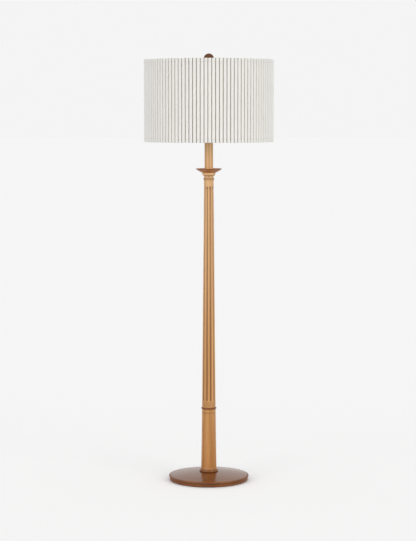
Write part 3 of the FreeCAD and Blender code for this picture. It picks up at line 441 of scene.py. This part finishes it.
def thread_coil(bm, radius, wire, start, end, pitch, steps_per_turn=24, sides=8):
    """A screw thread: a small round wire wound on a cylinder, closed at both ends."""
    turns = (end - start) / pitch
    steps = int(steps_per_turn * turns)
    ring = bmesh.ops.create_circle(bm, segments=sides, radius=wire, matrix=(
        Matrix.Translation((radius, 0, start)) @ Matrix.Rotation(math.pi / 2, 4, "X")))["verts"]
    edges = list({edge for vert in ring for edge in vert.link_edges})
    bmesh.ops.spin(
        bm, geom=list(ring) + edges, cent=ORIGIN, axis=UP, dvec=(0, 0, pitch / steps_per_turn),
        angle=2 * math.pi * steps / steps_per_turn, steps=steps)
    open_edges = [edge for edge in bm.edges if edge.is_boundary]
    bmesh.ops.holes_fill(bm, edges=open_edges, sides=sides)


def unwrap_round(bm, radius):
    """A UV map in metres, along the turn and up, for a thin band."""
    uv = bm.loops.layers.uv.new("cloth")
    for face in bm.faces:
        middle = face.calc_center_median()
        around = math.atan2(middle.y, middle.x)
        for loop in face.loops:
            point = loop.vert.co
            turn = math.atan2(point.y, point.x) - around
            turn = (turn + math.pi) % (2 * math.pi) - math.pi
            loop[uv].uv = ((around + turn) * radius, point.z)


def dress(names, material):
    """Gives CAD nodes a material."""
    for name in names:
        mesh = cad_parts[name].data
        mesh.materials.clear()
        mesh.materials.append(material)


# ---------------------------------------------------------------- column and base
class LAMP_OT_column(bpy.types.Operator):
    """Honey-brown lacquered wood on every turned piece of the column"""
    bl_idname = "lamp.column"
    bl_label = "Column"

    def execute(self, context):
        settings = context.scene.lamp_wood
        # Each piece: its staining, how much brighter its top is painted as light falling from
        # above, and where its painted shade and darkening gather. The staining is partly painted
        # light: the neck is brighter for the light that the shade keeps off it, the capital
        # brighter partly as a painted highlight, the dish darker as painted shade under it, and the
        # lower column darker partly as painted shade towards the floor.
        pieces = (
            ("lower_column", (0.84, 0.72, 0.58), (1.14, 1.30, 1.50), self.foot_painted_shade),
            ("collar_ring", (0.40, 0.22, 0.12), None, None),
            ("fluted_shaft", (1.12, 1.14, 1.18), (1.16, 1.34, 1.58), self.flute_painted_shade),
            ("capital", (1.34, 1.62, 2.00), None, self.capital_painted_shade),
            ("drip_dish", (0.77, 0.54, 0.36), None, self.rim_and_tube_foot_darkening),
            ("neck_tube", (1.40, 1.62, 1.95), None, None))
        for number, (name, stain_and_light_share, painted_top_light, painted_shade_and_darkening) in enumerate(pieces):
            pith = (0.075 + 0.013 * number, 0.040 - 0.011 * number, 0.7 * number)
            painted_light_by_height = None if painted_top_light is None else (low(name).z, high(name).z, painted_top_light)
            dress([name], wood(
                name + "_wood", stained(settings.column_light, stain_and_light_share),
                stained(settings.column_dark, stain_and_light_share), settings.column_painted_shade, pith=pith,
                painted_light_by_height=painted_light_by_height, painted_shade_and_darkening=painted_shade_and_darkening))
        return {"FINISHED"}

    def foot_painted_shade(self, desk):
        """Painted shade where the foot meets the base, in the fine groove and under the collar."""
        z = desk.height()
        top = high("lower_column").z
        foot = desk.math("MULTIPLY", desk.near(z, high("base_disc").z, 13 * MM), 2.8)
        foot = desk.math("MINIMUM", foot, 1.0)
        groove = desk.near(z, top - 14 * MM, 1.5 * MM)
        seam = desk.near(z, top, 3 * MM)
        return desk.math("MULTIPLY", desk.largest(foot, groove, seam), 0.9)

    def flute_painted_shade(self, desk):
        """Painted shade in the flutes, most at their upper ends, and over the astragal at the
        shaft's top, with darker colour on the plain band above the collar and at the collar's
        joint."""
        z = desk.height()
        collar, top = high("collar_ring").z, high("fluted_shaft").z
        foot_radius, head_radius = 24.5 * MM, 17.4 * MM
        ridge = desk.span(z, collar + 22 * MM, top - 28 * MM, foot_radius, head_radius)
        depth = desk.math("SUBTRACT", ridge, desk.from_axis())
        more = desk.math("MULTIPLY_ADD", desk.near(z, top - 31 * MM, 12 * MM), 4.0, 1.0)
        flute = desk.span(desk.math("MULTIPLY", depth, more), 0.6 * MM, 3.2 * MM)
        seam = desk.near(z, collar, 5 * MM)
        band = desk.span(z, collar + 28 * MM, collar + 20 * MM, 0.0, 0.35)
        astragal = desk.span(z, top - 9.5 * MM, top - 8.0 * MM, 0.0, 0.55)
        return desk.math("MULTIPLY", desk.largest(flute, seam, band, astragal), 0.85)

    def capital_painted_shade(self, desk):
        """Painted shade under the ovolo and in the joint above the astragal."""
        z = desk.height()
        bottom = low("capital").z
        foot = desk.near(z, bottom + 15 * MM, 3.4 * MM)
        joint = desk.near(z, bottom + 8 * MM, 1.6 * MM)
        return desk.math("MULTIPLY", desk.largest(foot, joint), 0.85)

    def rim_and_tube_foot_darkening(self, desk):
        """A darker line along the dish's rim and round the foot of the tube."""
        radius = desk.from_axis()
        rim = desk.near(radius, radius_of("drip_dish"), 2.2 * MM)
        foot = desk.near(radius, radius_of("neck_tube"), 5 * MM)
        return desk.math("MULTIPLY", desk.largest(rim, foot), 0.75)


class LAMP_OT_base(bpy.types.Operator):
    """Dark stained wood on the base, its felt, and the iron and steel under it"""
    bl_idname = "lamp.base"
    bl_label = "Base"

    def execute(self, context):
        settings = context.scene.lamp_wood
        board = wood(
            "base_wood", settings.base_light, settings.base_dark, darker(settings.base_dark, 0.35),
            turn=(0, math.radians(90), 0), pith=(0.11, 0.30, 0), roughness=0.20, gloss=0.60,
            glow=(1.0, 0.84, 0.58), rough_side=(BASE_FLAT + 0.5 * MM, BASE_FLAT + 1.5 * MM),
            painted_shade_and_darkening=self.painted_shade_and_darkening)
        dress(["base_disc"], board)
        dress(["base_weight"], painted("cast_weight", (0.05, 0.05, 0.052), 0.6, 500))
        zinc = metal("zinc_steel", context.scene.lamp_metal.zinc, 0.34)
        dress(["weight_screws", "pipe_washer", "pipe_nut", "lamp_pipe"], zinc)
        dress(["cord_bushing"], moulded("brown_plastic", (0.045, 0.020, 0.011), 0.3))
        self.felt()
        return {"FINISHED"}

    def painted_shade_and_darkening(self, desk):
        """Painted shadow in the cove under the lip and painted shade round the column's foot, with
        a darker line on the lip and a slight darkening over the flat top."""
        bottom, top = low("base_disc").z, high("base_disc").z
        z, radius = desk.height(), desk.from_axis()
        cove = desk.math("MULTIPLY", desk.near(z, bottom + 9.3 * MM, 2.4 * MM),
                         desk.span(radius, BASE_FLAT - 2 * MM, BASE_FLAT))
        lip = desk.math("MULTIPLY", desk.near(radius, BASE_LIP, 2.6 * MM),
                        desk.span(z, bottom + 9.5 * MM, bottom + 11 * MM, 0.0, 0.7))
        flat_top_darkening = desk.span(radius, BASE_FLAT, BASE_FLAT - 1.5 * MM, 0.0, 0.22)
        foot = desk.math("MULTIPLY", desk.near(radius, radius_of("lower_column"), 7 * MM),
                         desk.span(z, top - 4 * MM, top - 2 * MM))
        return desk.largest(cove, lip, flat_top_darkening, desk.math("MULTIPLY", foot, 0.6))

    def felt(self):
        radius = radius_of("felt_pad")
        top = high("felt_pad").z
        bm = bmesh.new()
        turn_profile(bm, (
            (0, 0), (radius - 0.7 * MM, 0), (radius - 0.1 * MM, 0.5 * MM), (radius, top / 2),
            (radius - 0.1 * MM, top - 0.4 * MM), (radius - 0.4 * MM, top), (0, top)), steps=144)
        close_up(bm)
        desk = NodeDesk("felt")
        fuzz = desk.noise(desk.place(), (1500, 1500, 1500), detail=4, roughness=0.7)
        clump = desk.noise(desk.place(), (240, 240, 240), detail=3)
        felt = desk.finish(
            Base_Color=desk.ramp(
                clump, ((0.3, (0.018, 0.024, 0.019)), (0.75, (0.042, 0.050, 0.041)))),
            Roughness=1.0, Sheen_Weight=0.5, Sheen_Roughness=0.4, Specular_IOR_Level=0.1,
            Normal=desk.bump(fuzz, 0.4 * MM, 0.8))
        pad = make_piece("felt_sheet", bm, "stand", felt, ["felt_pad"])


# ---------------------------------------------------------------- lamp socket, bulb and harp
class LAMP_OT_fittings(bpy.types.Operator):
    """Brass socket, harp and stud, the switch and the bulb"""
    bl_idname = "lamp.fittings"
    bl_label = "Fittings"

    def execute(self, context):
        settings = context.scene.lamp_metal
        brass = metal("brass", settings.brass, 0.26, (90, 90, 900))
        dress(["check_ring", "harp_saddle", "socket_cap", "socket_shell", "screw_shell",
               "contact_tongue", "switch_bushing", "switch_spindle", "harp_bow", "harp_collar",
               "harp_sleeve_left", "harp_sleeve_right", "finial_insert", "bulb_contact"], brass)
        dress(["socket_sleeve"], moulded("sleeve_board", (0.30, 0.20, 0.11), 0.8))
        dress(["socket_core", "switch_knob"], moulded("black_plastic", (0.018, 0.017, 0.016), 0.3))
        self.glass()
        self.screw_cap(settings)
        self.stud(settings, brass)
        return {"FINISHED"}

    def glass(self):
        desk = NodeDesk("frosted_glass")
        frost = desk.noise(desk.place(), (1800, 1800, 1800), detail=2)
        haze = desk.noise(desk.place(), (30, 30, 30))
        dress(["bulb_glass"], desk.finish(
            Base_Color=desk.ramp(haze, ((0.3, (0.93, 0.93, 0.91)), (0.8, (0.89, 0.89, 0.87)))),
            Roughness=0.42, IOR=1.5, Normal=desk.bump(frost, 0.02 * MM, 0.5)))

    def screw_cap(self, settings):
        """The bulb's screw cap, rolled from aluminium, and the glass insulator under it."""
        bottom, top = low("bulb_cap").z, high("bulb_cap").z
        outer = radius_of("bulb_cap")
        wire = 0.75 * MM
        core = outer - wire
        shoulder = bottom + 3.2 * MM
        bm = bmesh.new()
        turn_profile(bm, (
            (0, shoulder), (core - 1.0 * MM, shoulder), (core - 0.2 * MM, shoulder + 0.5 * MM),
            (core, shoulder + 1.2 * MM), (core, top - 4.0 * MM),
            (core + 0.3 * MM, top - 3.2 * MM), (outer - 0.1 * MM, top - 2.4 * MM),
            (outer - 0.1 * MM, top - 0.4 * MM), (outer - 0.5 * MM, top), (0, top)), steps=72)
        thread_coil(bm, core, wire, shoulder + 1.8 * MM, top - 4.2 * MM, settings.thread_pitch)
        close_up(bm)
        make_piece("screw_cap", bm, "bulb",
                   metal("bulb_aluminium", settings.aluminium, 0.3), ["bulb_cap"])
        foot = radius_of("bulb_contact")
        bm = bmesh.new()
        turn_profile(bm, (
            (0, bottom), (foot + 0.6 * MM, bottom), (foot + 1.2 * MM, bottom + 0.3 * MM),
            (core - 2.2 * MM, shoulder - 0.3 * MM), (core - 1.4 * MM, shoulder + 0.2 * MM),
            (0, shoulder + 0.2 * MM)), steps=72)
        close_up(bm)
        make_piece("cap_insulator", bm, "bulb",
                   moulded("cap_glass", (0.012, 0.012, 0.014), 0.12), ["bulb_cap"])

    def stud(self, settings, brass):
        """The swivel plate with its threaded stud."""
        bottom, top = low("harp_stud").z, high("harp_stud").z
        plate = radius_of("harp_stud")
        stud = 3.175 * MM
        wire = 0.30 * MM
        core = stud - wire
        pivot = bottom + 3.4 * MM
        plate_top = pivot + 2.0 * MM
        bm = bmesh.new()
        turn_profile(bm, (
            (0, bottom), (2.1 * MM, bottom), (2.4 * MM, bottom + 0.3 * MM), (2.4 * MM, pivot),
            (plate - 0.3 * MM, pivot), (plate, pivot + 0.3 * MM),
            (plate, plate_top - 0.5 * MM), (plate - 0.5 * MM, plate_top), (core, plate_top),
            (core, top - 0.6 * MM), (core - 0.6 * MM, top), (0, top)), steps=64)
        thread_coil(bm, core, wire, plate_top + 0.6 * MM, top - 0.9 * MM, settings.stud_pitch, 20)
        close_up(bm)
        make_piece("threaded_stud", bm, "swivel", brass, ["harp_stud"])


# ---------------------------------------------------------------- shade
class LAMP_OT_frame(bpy.types.Operator):
    """White wire rings, the liner and its tapes"""
    bl_idname = "lamp.frame"
    bl_label = "Shade Frame"

    def execute(self, context):
        coat = painted("white_wire", (0.80, 0.80, 0.785), 0.38)
        dress(["spider_ring", "lower_ring"], coat)
        self.welds(coat)
        desk = NodeDesk("liner_plastic")
        cloud = desk.noise(desk.place(), (18, 18, 18), detail=3)
        grain = desk.noise(desk.place(), (1300, 1300, 1300), detail=1)
        dress(["shade_liner"], desk.finish(
            Base_Color=desk.ramp(cloud, ((0.3, (0.86, 0.86, 0.84)), (0.8, (0.82, 0.82, 0.795)))),
            Roughness=0.55, Normal=desk.bump(grain, 0.03 * MM, 0.4)))
        self.tapes()
        return {"FINISHED"}

    def welds(self, coat):
        """A small weld bead where each arm meets the ring and the washer."""
        ring_height = high("spider_ring").z - 1.8 * MM
        washer_height = low("spider_ring").z + 1.6 * MM
        reach = radius_of("spider_ring") - 3.0 * MM
        bm = bmesh.new()
        for turn in (90, 210, 330):
            for radius, height in ((reach, ring_height), (9.6 * MM, washer_height)):
                place = (Matrix.Rotation(math.radians(turn), 4, "Z")
                         @ Matrix.Translation((radius, 0, height))
                         @ Matrix.Diagonal((1.5, 1.15, 0.85, 1)))
                bmesh.ops.create_icosphere(bm, subdivisions=3, radius=2.0 * MM, matrix=place)
        close_up(bm)
        make_piece("ring_welds", bm, "shade", coat)

    def tapes(self):
        """Woven tape glued over the liner's top and bottom edges, inside."""
        outer = radius_of("edge_tapes")
        inner = outer - 0.4 * MM
        width = 13 * MM
        tape = woven("shade_tape", (0.82, 0.815, 0.79), 0.5 * MM)
        for name, bottom in (("tape_top", high("edge_tapes").z - width),
                             ("tape_bottom", low("edge_tapes").z)):
            top = bottom + width
            bm = bmesh.new()
            turn_profile(bm, (
                (inner, bottom + 0.3 * MM), (inner + 0.1 * MM, bottom), (outer, bottom),
                (outer, top), (inner + 0.1 * MM, top), (inner, top - 0.3 * MM)), steps=216,
                closed=True)
            close_up(bm)
            unwrap_round(bm, outer)
            band = make_piece(name, bm, "shade", tape, ["edge_tapes"])


class LAMP_OT_cover(bpy.types.Operator):
    """The pleated cloth round the shade, folded from one long strip"""
    bl_idname = "lamp.cover"
    bl_label = "Pleated Cover"

    def execute(self, context):
        settings = context.scene.lamp_shade
        bottom, top = low("pleated_cover").z, high("pleated_cover").z
        crown = radius_of("pleated_cover") - settings.cloth_thickness / 2
        ridge = crown - settings.crown
        liner_gap = 0.05 * MM
        valley = ridge - settings.pleat_depth + liner_gap
        bm = bmesh.new()
        arc = bm.verts.layers.float.new("arc")
        outline, developed = self.pleat(settings, ridge, valley)
        ring = self.fold_round(bm, settings, outline, arc, bottom)
        self.raise_cloth(bm, ring, settings, top - bottom)
        self.lay_threads(bm, arc, settings, developed)
        self.loosen(bm, settings, valley, ridge, bottom, top)
        bm.verts.layers.float.remove(bm.verts.layers.float["arc"])
        cover = make_piece(
            "pleated_cloth", bm, "shade",
            self.cloth(settings, valley, crown, bottom, top), ["pleated_cover"], angle=50)
        wall = cover.modifiers.new("cloth_thickness", "SOLIDIFY")
        wall.thickness = settings.cloth_thickness
        wall.offset = 0
        return {"FINISHED"}

    def pleat(self, settings, ridge, valley):
        """The outline of a pleat from one valley to the next, as (share of the pitch, radius),
        and its length."""
        pitch = 2 * math.pi * ridge / settings.pleat_count
        half = pitch / 2
        foot = settings.valley_width / 2
        lip = half - settings.ridge_width / 2
        fold = 0.45 * MM
        side = [
            (0, valley), (foot - fold * 0.5, valley), (foot + fold * 0.4, valley + fold),
            ((foot + lip) / 2, (valley + ridge) / 2), (lip - fold * 0.4, ridge - fold),
            (lip + fold * 0.6, ridge), ((lip + half) / 2, ridge + settings.crown * 0.75),
            (half, ridge + settings.crown)]
        whole = side + [(pitch - along, radius) for along, radius in reversed(side[:-1])]
        developed = sum(math.dist(first, second) for first, second in zip(whole, whole[1:]))
        return [(along / pitch, radius) for along, radius in whole], developed

    def fold_round(self, bm, settings, outline, arc, bottom):
        """Repeats the pleat all round and returns the closed ring of edges."""
        step = 2 * math.pi / settings.pleat_count
        first = -math.pi / 2 + settings.pleat_turn - step / 2
        verts = []
        run = 0.0
        previous = None
        for share, radius in outline:
            angle = first + share * step
            vert = bm.verts.new((radius * math.cos(angle), radius * math.sin(angle), bottom))
            if previous is not None:
                run += (vert.co - previous).length
            previous = vert.co.copy()
            vert[arc] = run
            verts.append(vert)
        edges = [bm.edges.new(pair) for pair in zip(verts, verts[1:])]
        bmesh.ops.spin(
            bm, geom=verts + edges, cent=ORIGIN, axis=UP, angle=2 * math.pi - step,
            steps=settings.pleat_count - 1, use_duplicate=True)
        bmesh.ops.remove_doubles(bm, verts=bm.verts, dist=0.01 * MM)
        return list(bm.edges)

    def raise_cloth(self, bm, ring, settings, height):
        """Draws the ring of edges up to the shade's height, with extra rows at the hems."""
        hem = settings.hem
        lip = 1.2 * MM
        spans = 8
        rows = [lip, hem, hem + lip]
        inner = [hem + lip + (height - 2 * (hem + lip)) * n / spans for n in range(1, spans)]
        levels = rows + inner + [height - row for row in reversed(rows)] + [height]
        reached = 0.0
        for level in levels:
            raised = bmesh.ops.extrude_edge_only(bm, edges=ring)["geom"]
            verts = {item for item in raised if isinstance(item, bmesh.types.BMVert)}
            bmesh.ops.translate(bm, verts=list(verts), vec=(0, 0, level - reached))
            ring = [item for item in raised if isinstance(item, bmesh.types.BMEdge)
                    and item.verts[0] in verts and item.verts[1] in verts]
            reached = level

    def lay_threads(self, bm, arc, settings, developed):
        """A UV map in metres of the flat strip, so that the weave follows every fold."""
        uv = bm.loops.layers.uv.new("cloth")
        step = 2 * math.pi / settings.pleat_count
        first = -math.pi / 2 + settings.pleat_turn - step / 2
        for face in bm.faces:
            middle = face.calc_center_median()
            pleat = math.floor(((math.atan2(middle.y, middle.x) - first) % (2 * math.pi)) / step)
            lengths = [loop.vert[arc] for loop in face.loops]
            for loop, along in zip(face.loops, lengths):
                if max(lengths) - along > developed / 2:
                    along += developed
                loop[uv].uv = (pleat * developed + along, loop.vert.co.z)

    def loosen(self, bm, settings, valley, ridge, bottom, top):
        """Lets the ridges wander a little between the hems, and thickens the turned hems."""
        # How often the folds sway and puff, per metre round the shade and up it
        sway_round, sway_up = 62, 7
        puff_round, puff_up, puff_shift = 75, 9, 9
        for vert in bm.verts:
            point = vert.co.copy()
            flat = Vector((point.x, point.y, 0))
            radius = flat.length
            out = flat / radius
            aside = Vector((-out.y, out.x, 0))
            raised = min(1.0, max(0.0, (radius - valley) / (ridge - valley)))
            share = (point.z - bottom) / (top - bottom)
            # Loosest halfway up, and held near the rims
            slack = 0.35 + 0.65 * math.sin(math.pi * share)
            sway = noise.noise(Vector((
                point.x * sway_round, point.y * sway_round, point.z * sway_up)))
            puff = noise.noise(Vector((
                point.x * puff_round + puff_shift, point.y * puff_round, point.z * puff_up)))
            vert.co += aside * (sway * settings.unevenness * slack * raised * 1.6)
            vert.co += out * (min(0.0, puff) * settings.unevenness * raised * slack)
            # The hems are doubled, so the single cloth between them lies a little deeper
            edge = min(point.z - bottom, top - point.z)
            if edge > settings.hem + 0.5 * MM:
                vert.co -= out * (0.18 * MM * raised)

    def cloth(self, settings, valley, crown, bottom, top):
        """Off-white plain weave, with painted shade down the walls and deep in the folds, and a
        painted shade line at the edge of the doubled hem at both rims.
        """
        desk = NodeDesk("pleated_fabric")
        relief, slubs = weave(desk, 0.42 * MM)
        tint = desk.ramp(slubs, ((0.12, darker(settings.cloth, 0.93)), (0.32, settings.cloth)))
        # Painted shade down the walls, darkest on the valley floor
        depth = desk.span(desk.from_axis(), crown - 0.9 * MM, valley + 0.4 * MM)
        tint = desk.mix(desk.span(depth, 0.0, 0.45), tint, settings.painted_wall_shade)
        tint = desk.mix(desk.span(depth, 0.55, 1.0), tint, settings.painted_fold_shade)
        # A painted shade line along the edge of each doubled hem
        z = desk.height()
        hem = desk.largest(desk.near(z, bottom + settings.hem, 0.8 * MM),
                           desk.near(z, top - settings.hem, 0.8 * MM))
        tint = desk.mix(desk.math("MULTIPLY", hem, 0.25), tint, settings.painted_fold_shade)
        return desk.finish(
            Base_Color=tint, Roughness=0.92, Sheen_Weight=0.1, Sheen_Roughness=0.5,
            Specular_IOR_Level=0.2, Normal=desk.bump(relief, 0.1 * MM, 0.55))


class LAMP_OT_finial(bpy.types.Operator):
    """Dark lacquered wood on the finial ball"""
    bl_idname = "lamp.finial"
    bl_label = "Finial"

    def execute(self, context):
        settings = context.scene.lamp_wood
        material = wood(
            "finial_wood", settings.finial_light, settings.finial_dark,
            darker(settings.finial_dark, 0.4), pith=(0.031, 0.018, 0), roughness=0.30)
        dress(["finial_ball"], material)
        return {"FINISHED"}


# ---------------------------------------------------------------- stage
class LAMP_OT_stage(bpy.types.Operator):
    """A pale seamless floor, plain soft light and the camera"""
    bl_idname = "lamp.stage"
    bl_label = "Stage"

    def execute(self, context):
        settings = context.scene.lamp_stage
        self.floor(settings)
        self.sky(settings)
        for side in (-1, 1):
            self.key(settings, side)
            self.strip(settings, side)
        self.camera(settings)
        context.scene.view_settings.view_transform = "Standard"
        return {"FINISHED"}

    def floor(self, settings):
        bm = bmesh.new()
        bmesh.ops.create_grid(bm, x_segments=1, y_segments=1, size=FLOOR_REACH)
        mesh = bpy.data.meshes.new("studio_floor")
        bm.to_mesh(mesh)
        bm.free()
        floor = bpy.data.objects.new("studio_floor", mesh)
        bpy.context.scene.collection.objects.link(floor)
        desk = NodeDesk("studio_floor")
        paper = desk.noise(desk.place(), (3, 3, 3), detail=1)
        tint = desk.mix(paper, [settings.floor] * 3, [settings.floor * 0.998] * 3)
        matt = desk.add(
            "BsdfDiffuse", {"Color": desk.mix(desk.looked_at(), settings.floor_bounce, tint)})
        mesh.materials.append(desk.end_in(matt))

    def sky(self, settings):
        """Even white light from all round, which the camera sees as a plain pale backdrop."""
        desk = NodeDesk("studio", bpy.data.worlds, "OutputWorld")
        lit = desk.add("Background", {"Color": (1, 1, 1, 1), "Strength": settings.sky_light})
        seen = desk.add("Background", {"Color": (settings.backdrop,) * 3 + (1,)})
        mix = desk.add(
            "MixShader", {0: desk.looked_at(), 1: lit.outputs[0], 2: seen.outputs[0]})
        bpy.context.scene.world = desk.end_in(mix)

    def hang(self, name, light, place, target):
        """Puts a light at a place and aims it at a target."""
        lamp = bpy.data.objects.new(name, light)
        bpy.context.scene.collection.objects.link(lamp)
        lamp.location = place
        lamp.rotation_euler = (Vector(place) - Vector(target)).to_track_quat("Z", "Y").to_euler()
        return lamp

    def key(self, settings, side):
        """One broad soft light in front, to the left or the right."""
        light = bpy.data.lights.new("soft_key", "SUN")
        light.energy = settings.key_light
        light.angle = KEY_SPREAD
        rise = settings.key_rise + side * settings.key_balance
        aside = KEY_ASIDE * side
        away = Vector((
            math.sin(aside) * math.cos(rise), -math.cos(aside) * math.cos(rise), math.sin(rise)))
        lamp = self.hang("soft_key", light, away * KEY_DISTANCE, ORIGIN)
        lamp.visible_glossy = False

    def strip(self, settings, side):
        """A tall strip beside the lamp that only shows as a highlight in the lacquer."""
        light = bpy.data.lights.new("strip", "AREA")
        light.shape = "RECTANGLE"
        light.size = STRIP_WIDTH
        light.size_y = STRIP_HEIGHT
        light.energy = settings.strip_light
        aside = STRIP_ASIDE * side
        place = (STRIP_DISTANCE * math.sin(aside), -STRIP_DISTANCE * math.cos(aside), STRIP_MIDDLE)
        strip = self.hang("strip", light, place, (0, 0, STRIP_MIDDLE))
        strip.visible_diffuse = False
        strip.visible_camera = False

    def camera(self, settings):
        data = bpy.data.cameras.new("camera")
        data.sensor_width = 36.0
        data.sensor_fit = "AUTO"
        data.lens = settings.focal_length
        data.clip_end = CAMERA_REACH
        camera = bpy.data.objects.new("camera", data)
        bpy.context.scene.collection.objects.link(camera)
        camera.location = (settings.camera_aside, -settings.camera_distance, settings.camera_height)
        camera.rotation_euler = (math.radians(90) - settings.camera_tilt, 0, 0)
        bpy.context.scene.camera = camera


# ---------------------------------------------------------------- add-on
SETTINGS = (
    ("lamp_shade", LampShadeSettings), ("lamp_wood", LampWoodSettings),
    ("lamp_metal", LampMetalSettings), ("lamp_stage", LampStageSettings))
OPERATORS = (
    LAMP_OT_column, LAMP_OT_base, LAMP_OT_fittings, LAMP_OT_frame, LAMP_OT_cover, LAMP_OT_finial,
    LAMP_OT_stage)


class LAMP_PT_panel(bpy.types.Panel):
    """Lists the pieces of the lamp in the sidebar"""
    bl_idname = "LAMP_PT_panel"
    bl_label = "Floor Lamp"
    bl_space_type = "VIEW_3D"
    bl_region_type = "UI"
    bl_category = "Lamp"

    def draw(self, context):
        column = self.layout.column()
        for operator in OPERATORS:
            column.operator(operator.bl_idname)


def register():
    for name, group in SETTINGS:
        bpy.utils.register_class(group)
        setattr(bpy.types.Scene, name, PointerProperty(type=group))
    for cls in OPERATORS + (LAMP_PT_panel,):
        bpy.utils.register_class(cls)


def unregister():
    for cls in reversed(OPERATORS + (LAMP_PT_panel,)):
        bpy.utils.unregister_class(cls)
    for name, group in reversed(SETTINGS):
        delattr(bpy.types.Scene, name)
        bpy.utils.unregister_class(group)


def main():
    register()
    for step in (bpy.ops.lamp.column, bpy.ops.lamp.base, bpy.ops.lamp.fittings, bpy.ops.lamp.frame,
                 bpy.ops.lamp.cover, bpy.ops.lamp.finial, bpy.ops.lamp.stage):
        step()


if __name__ == "__main__":
    main()
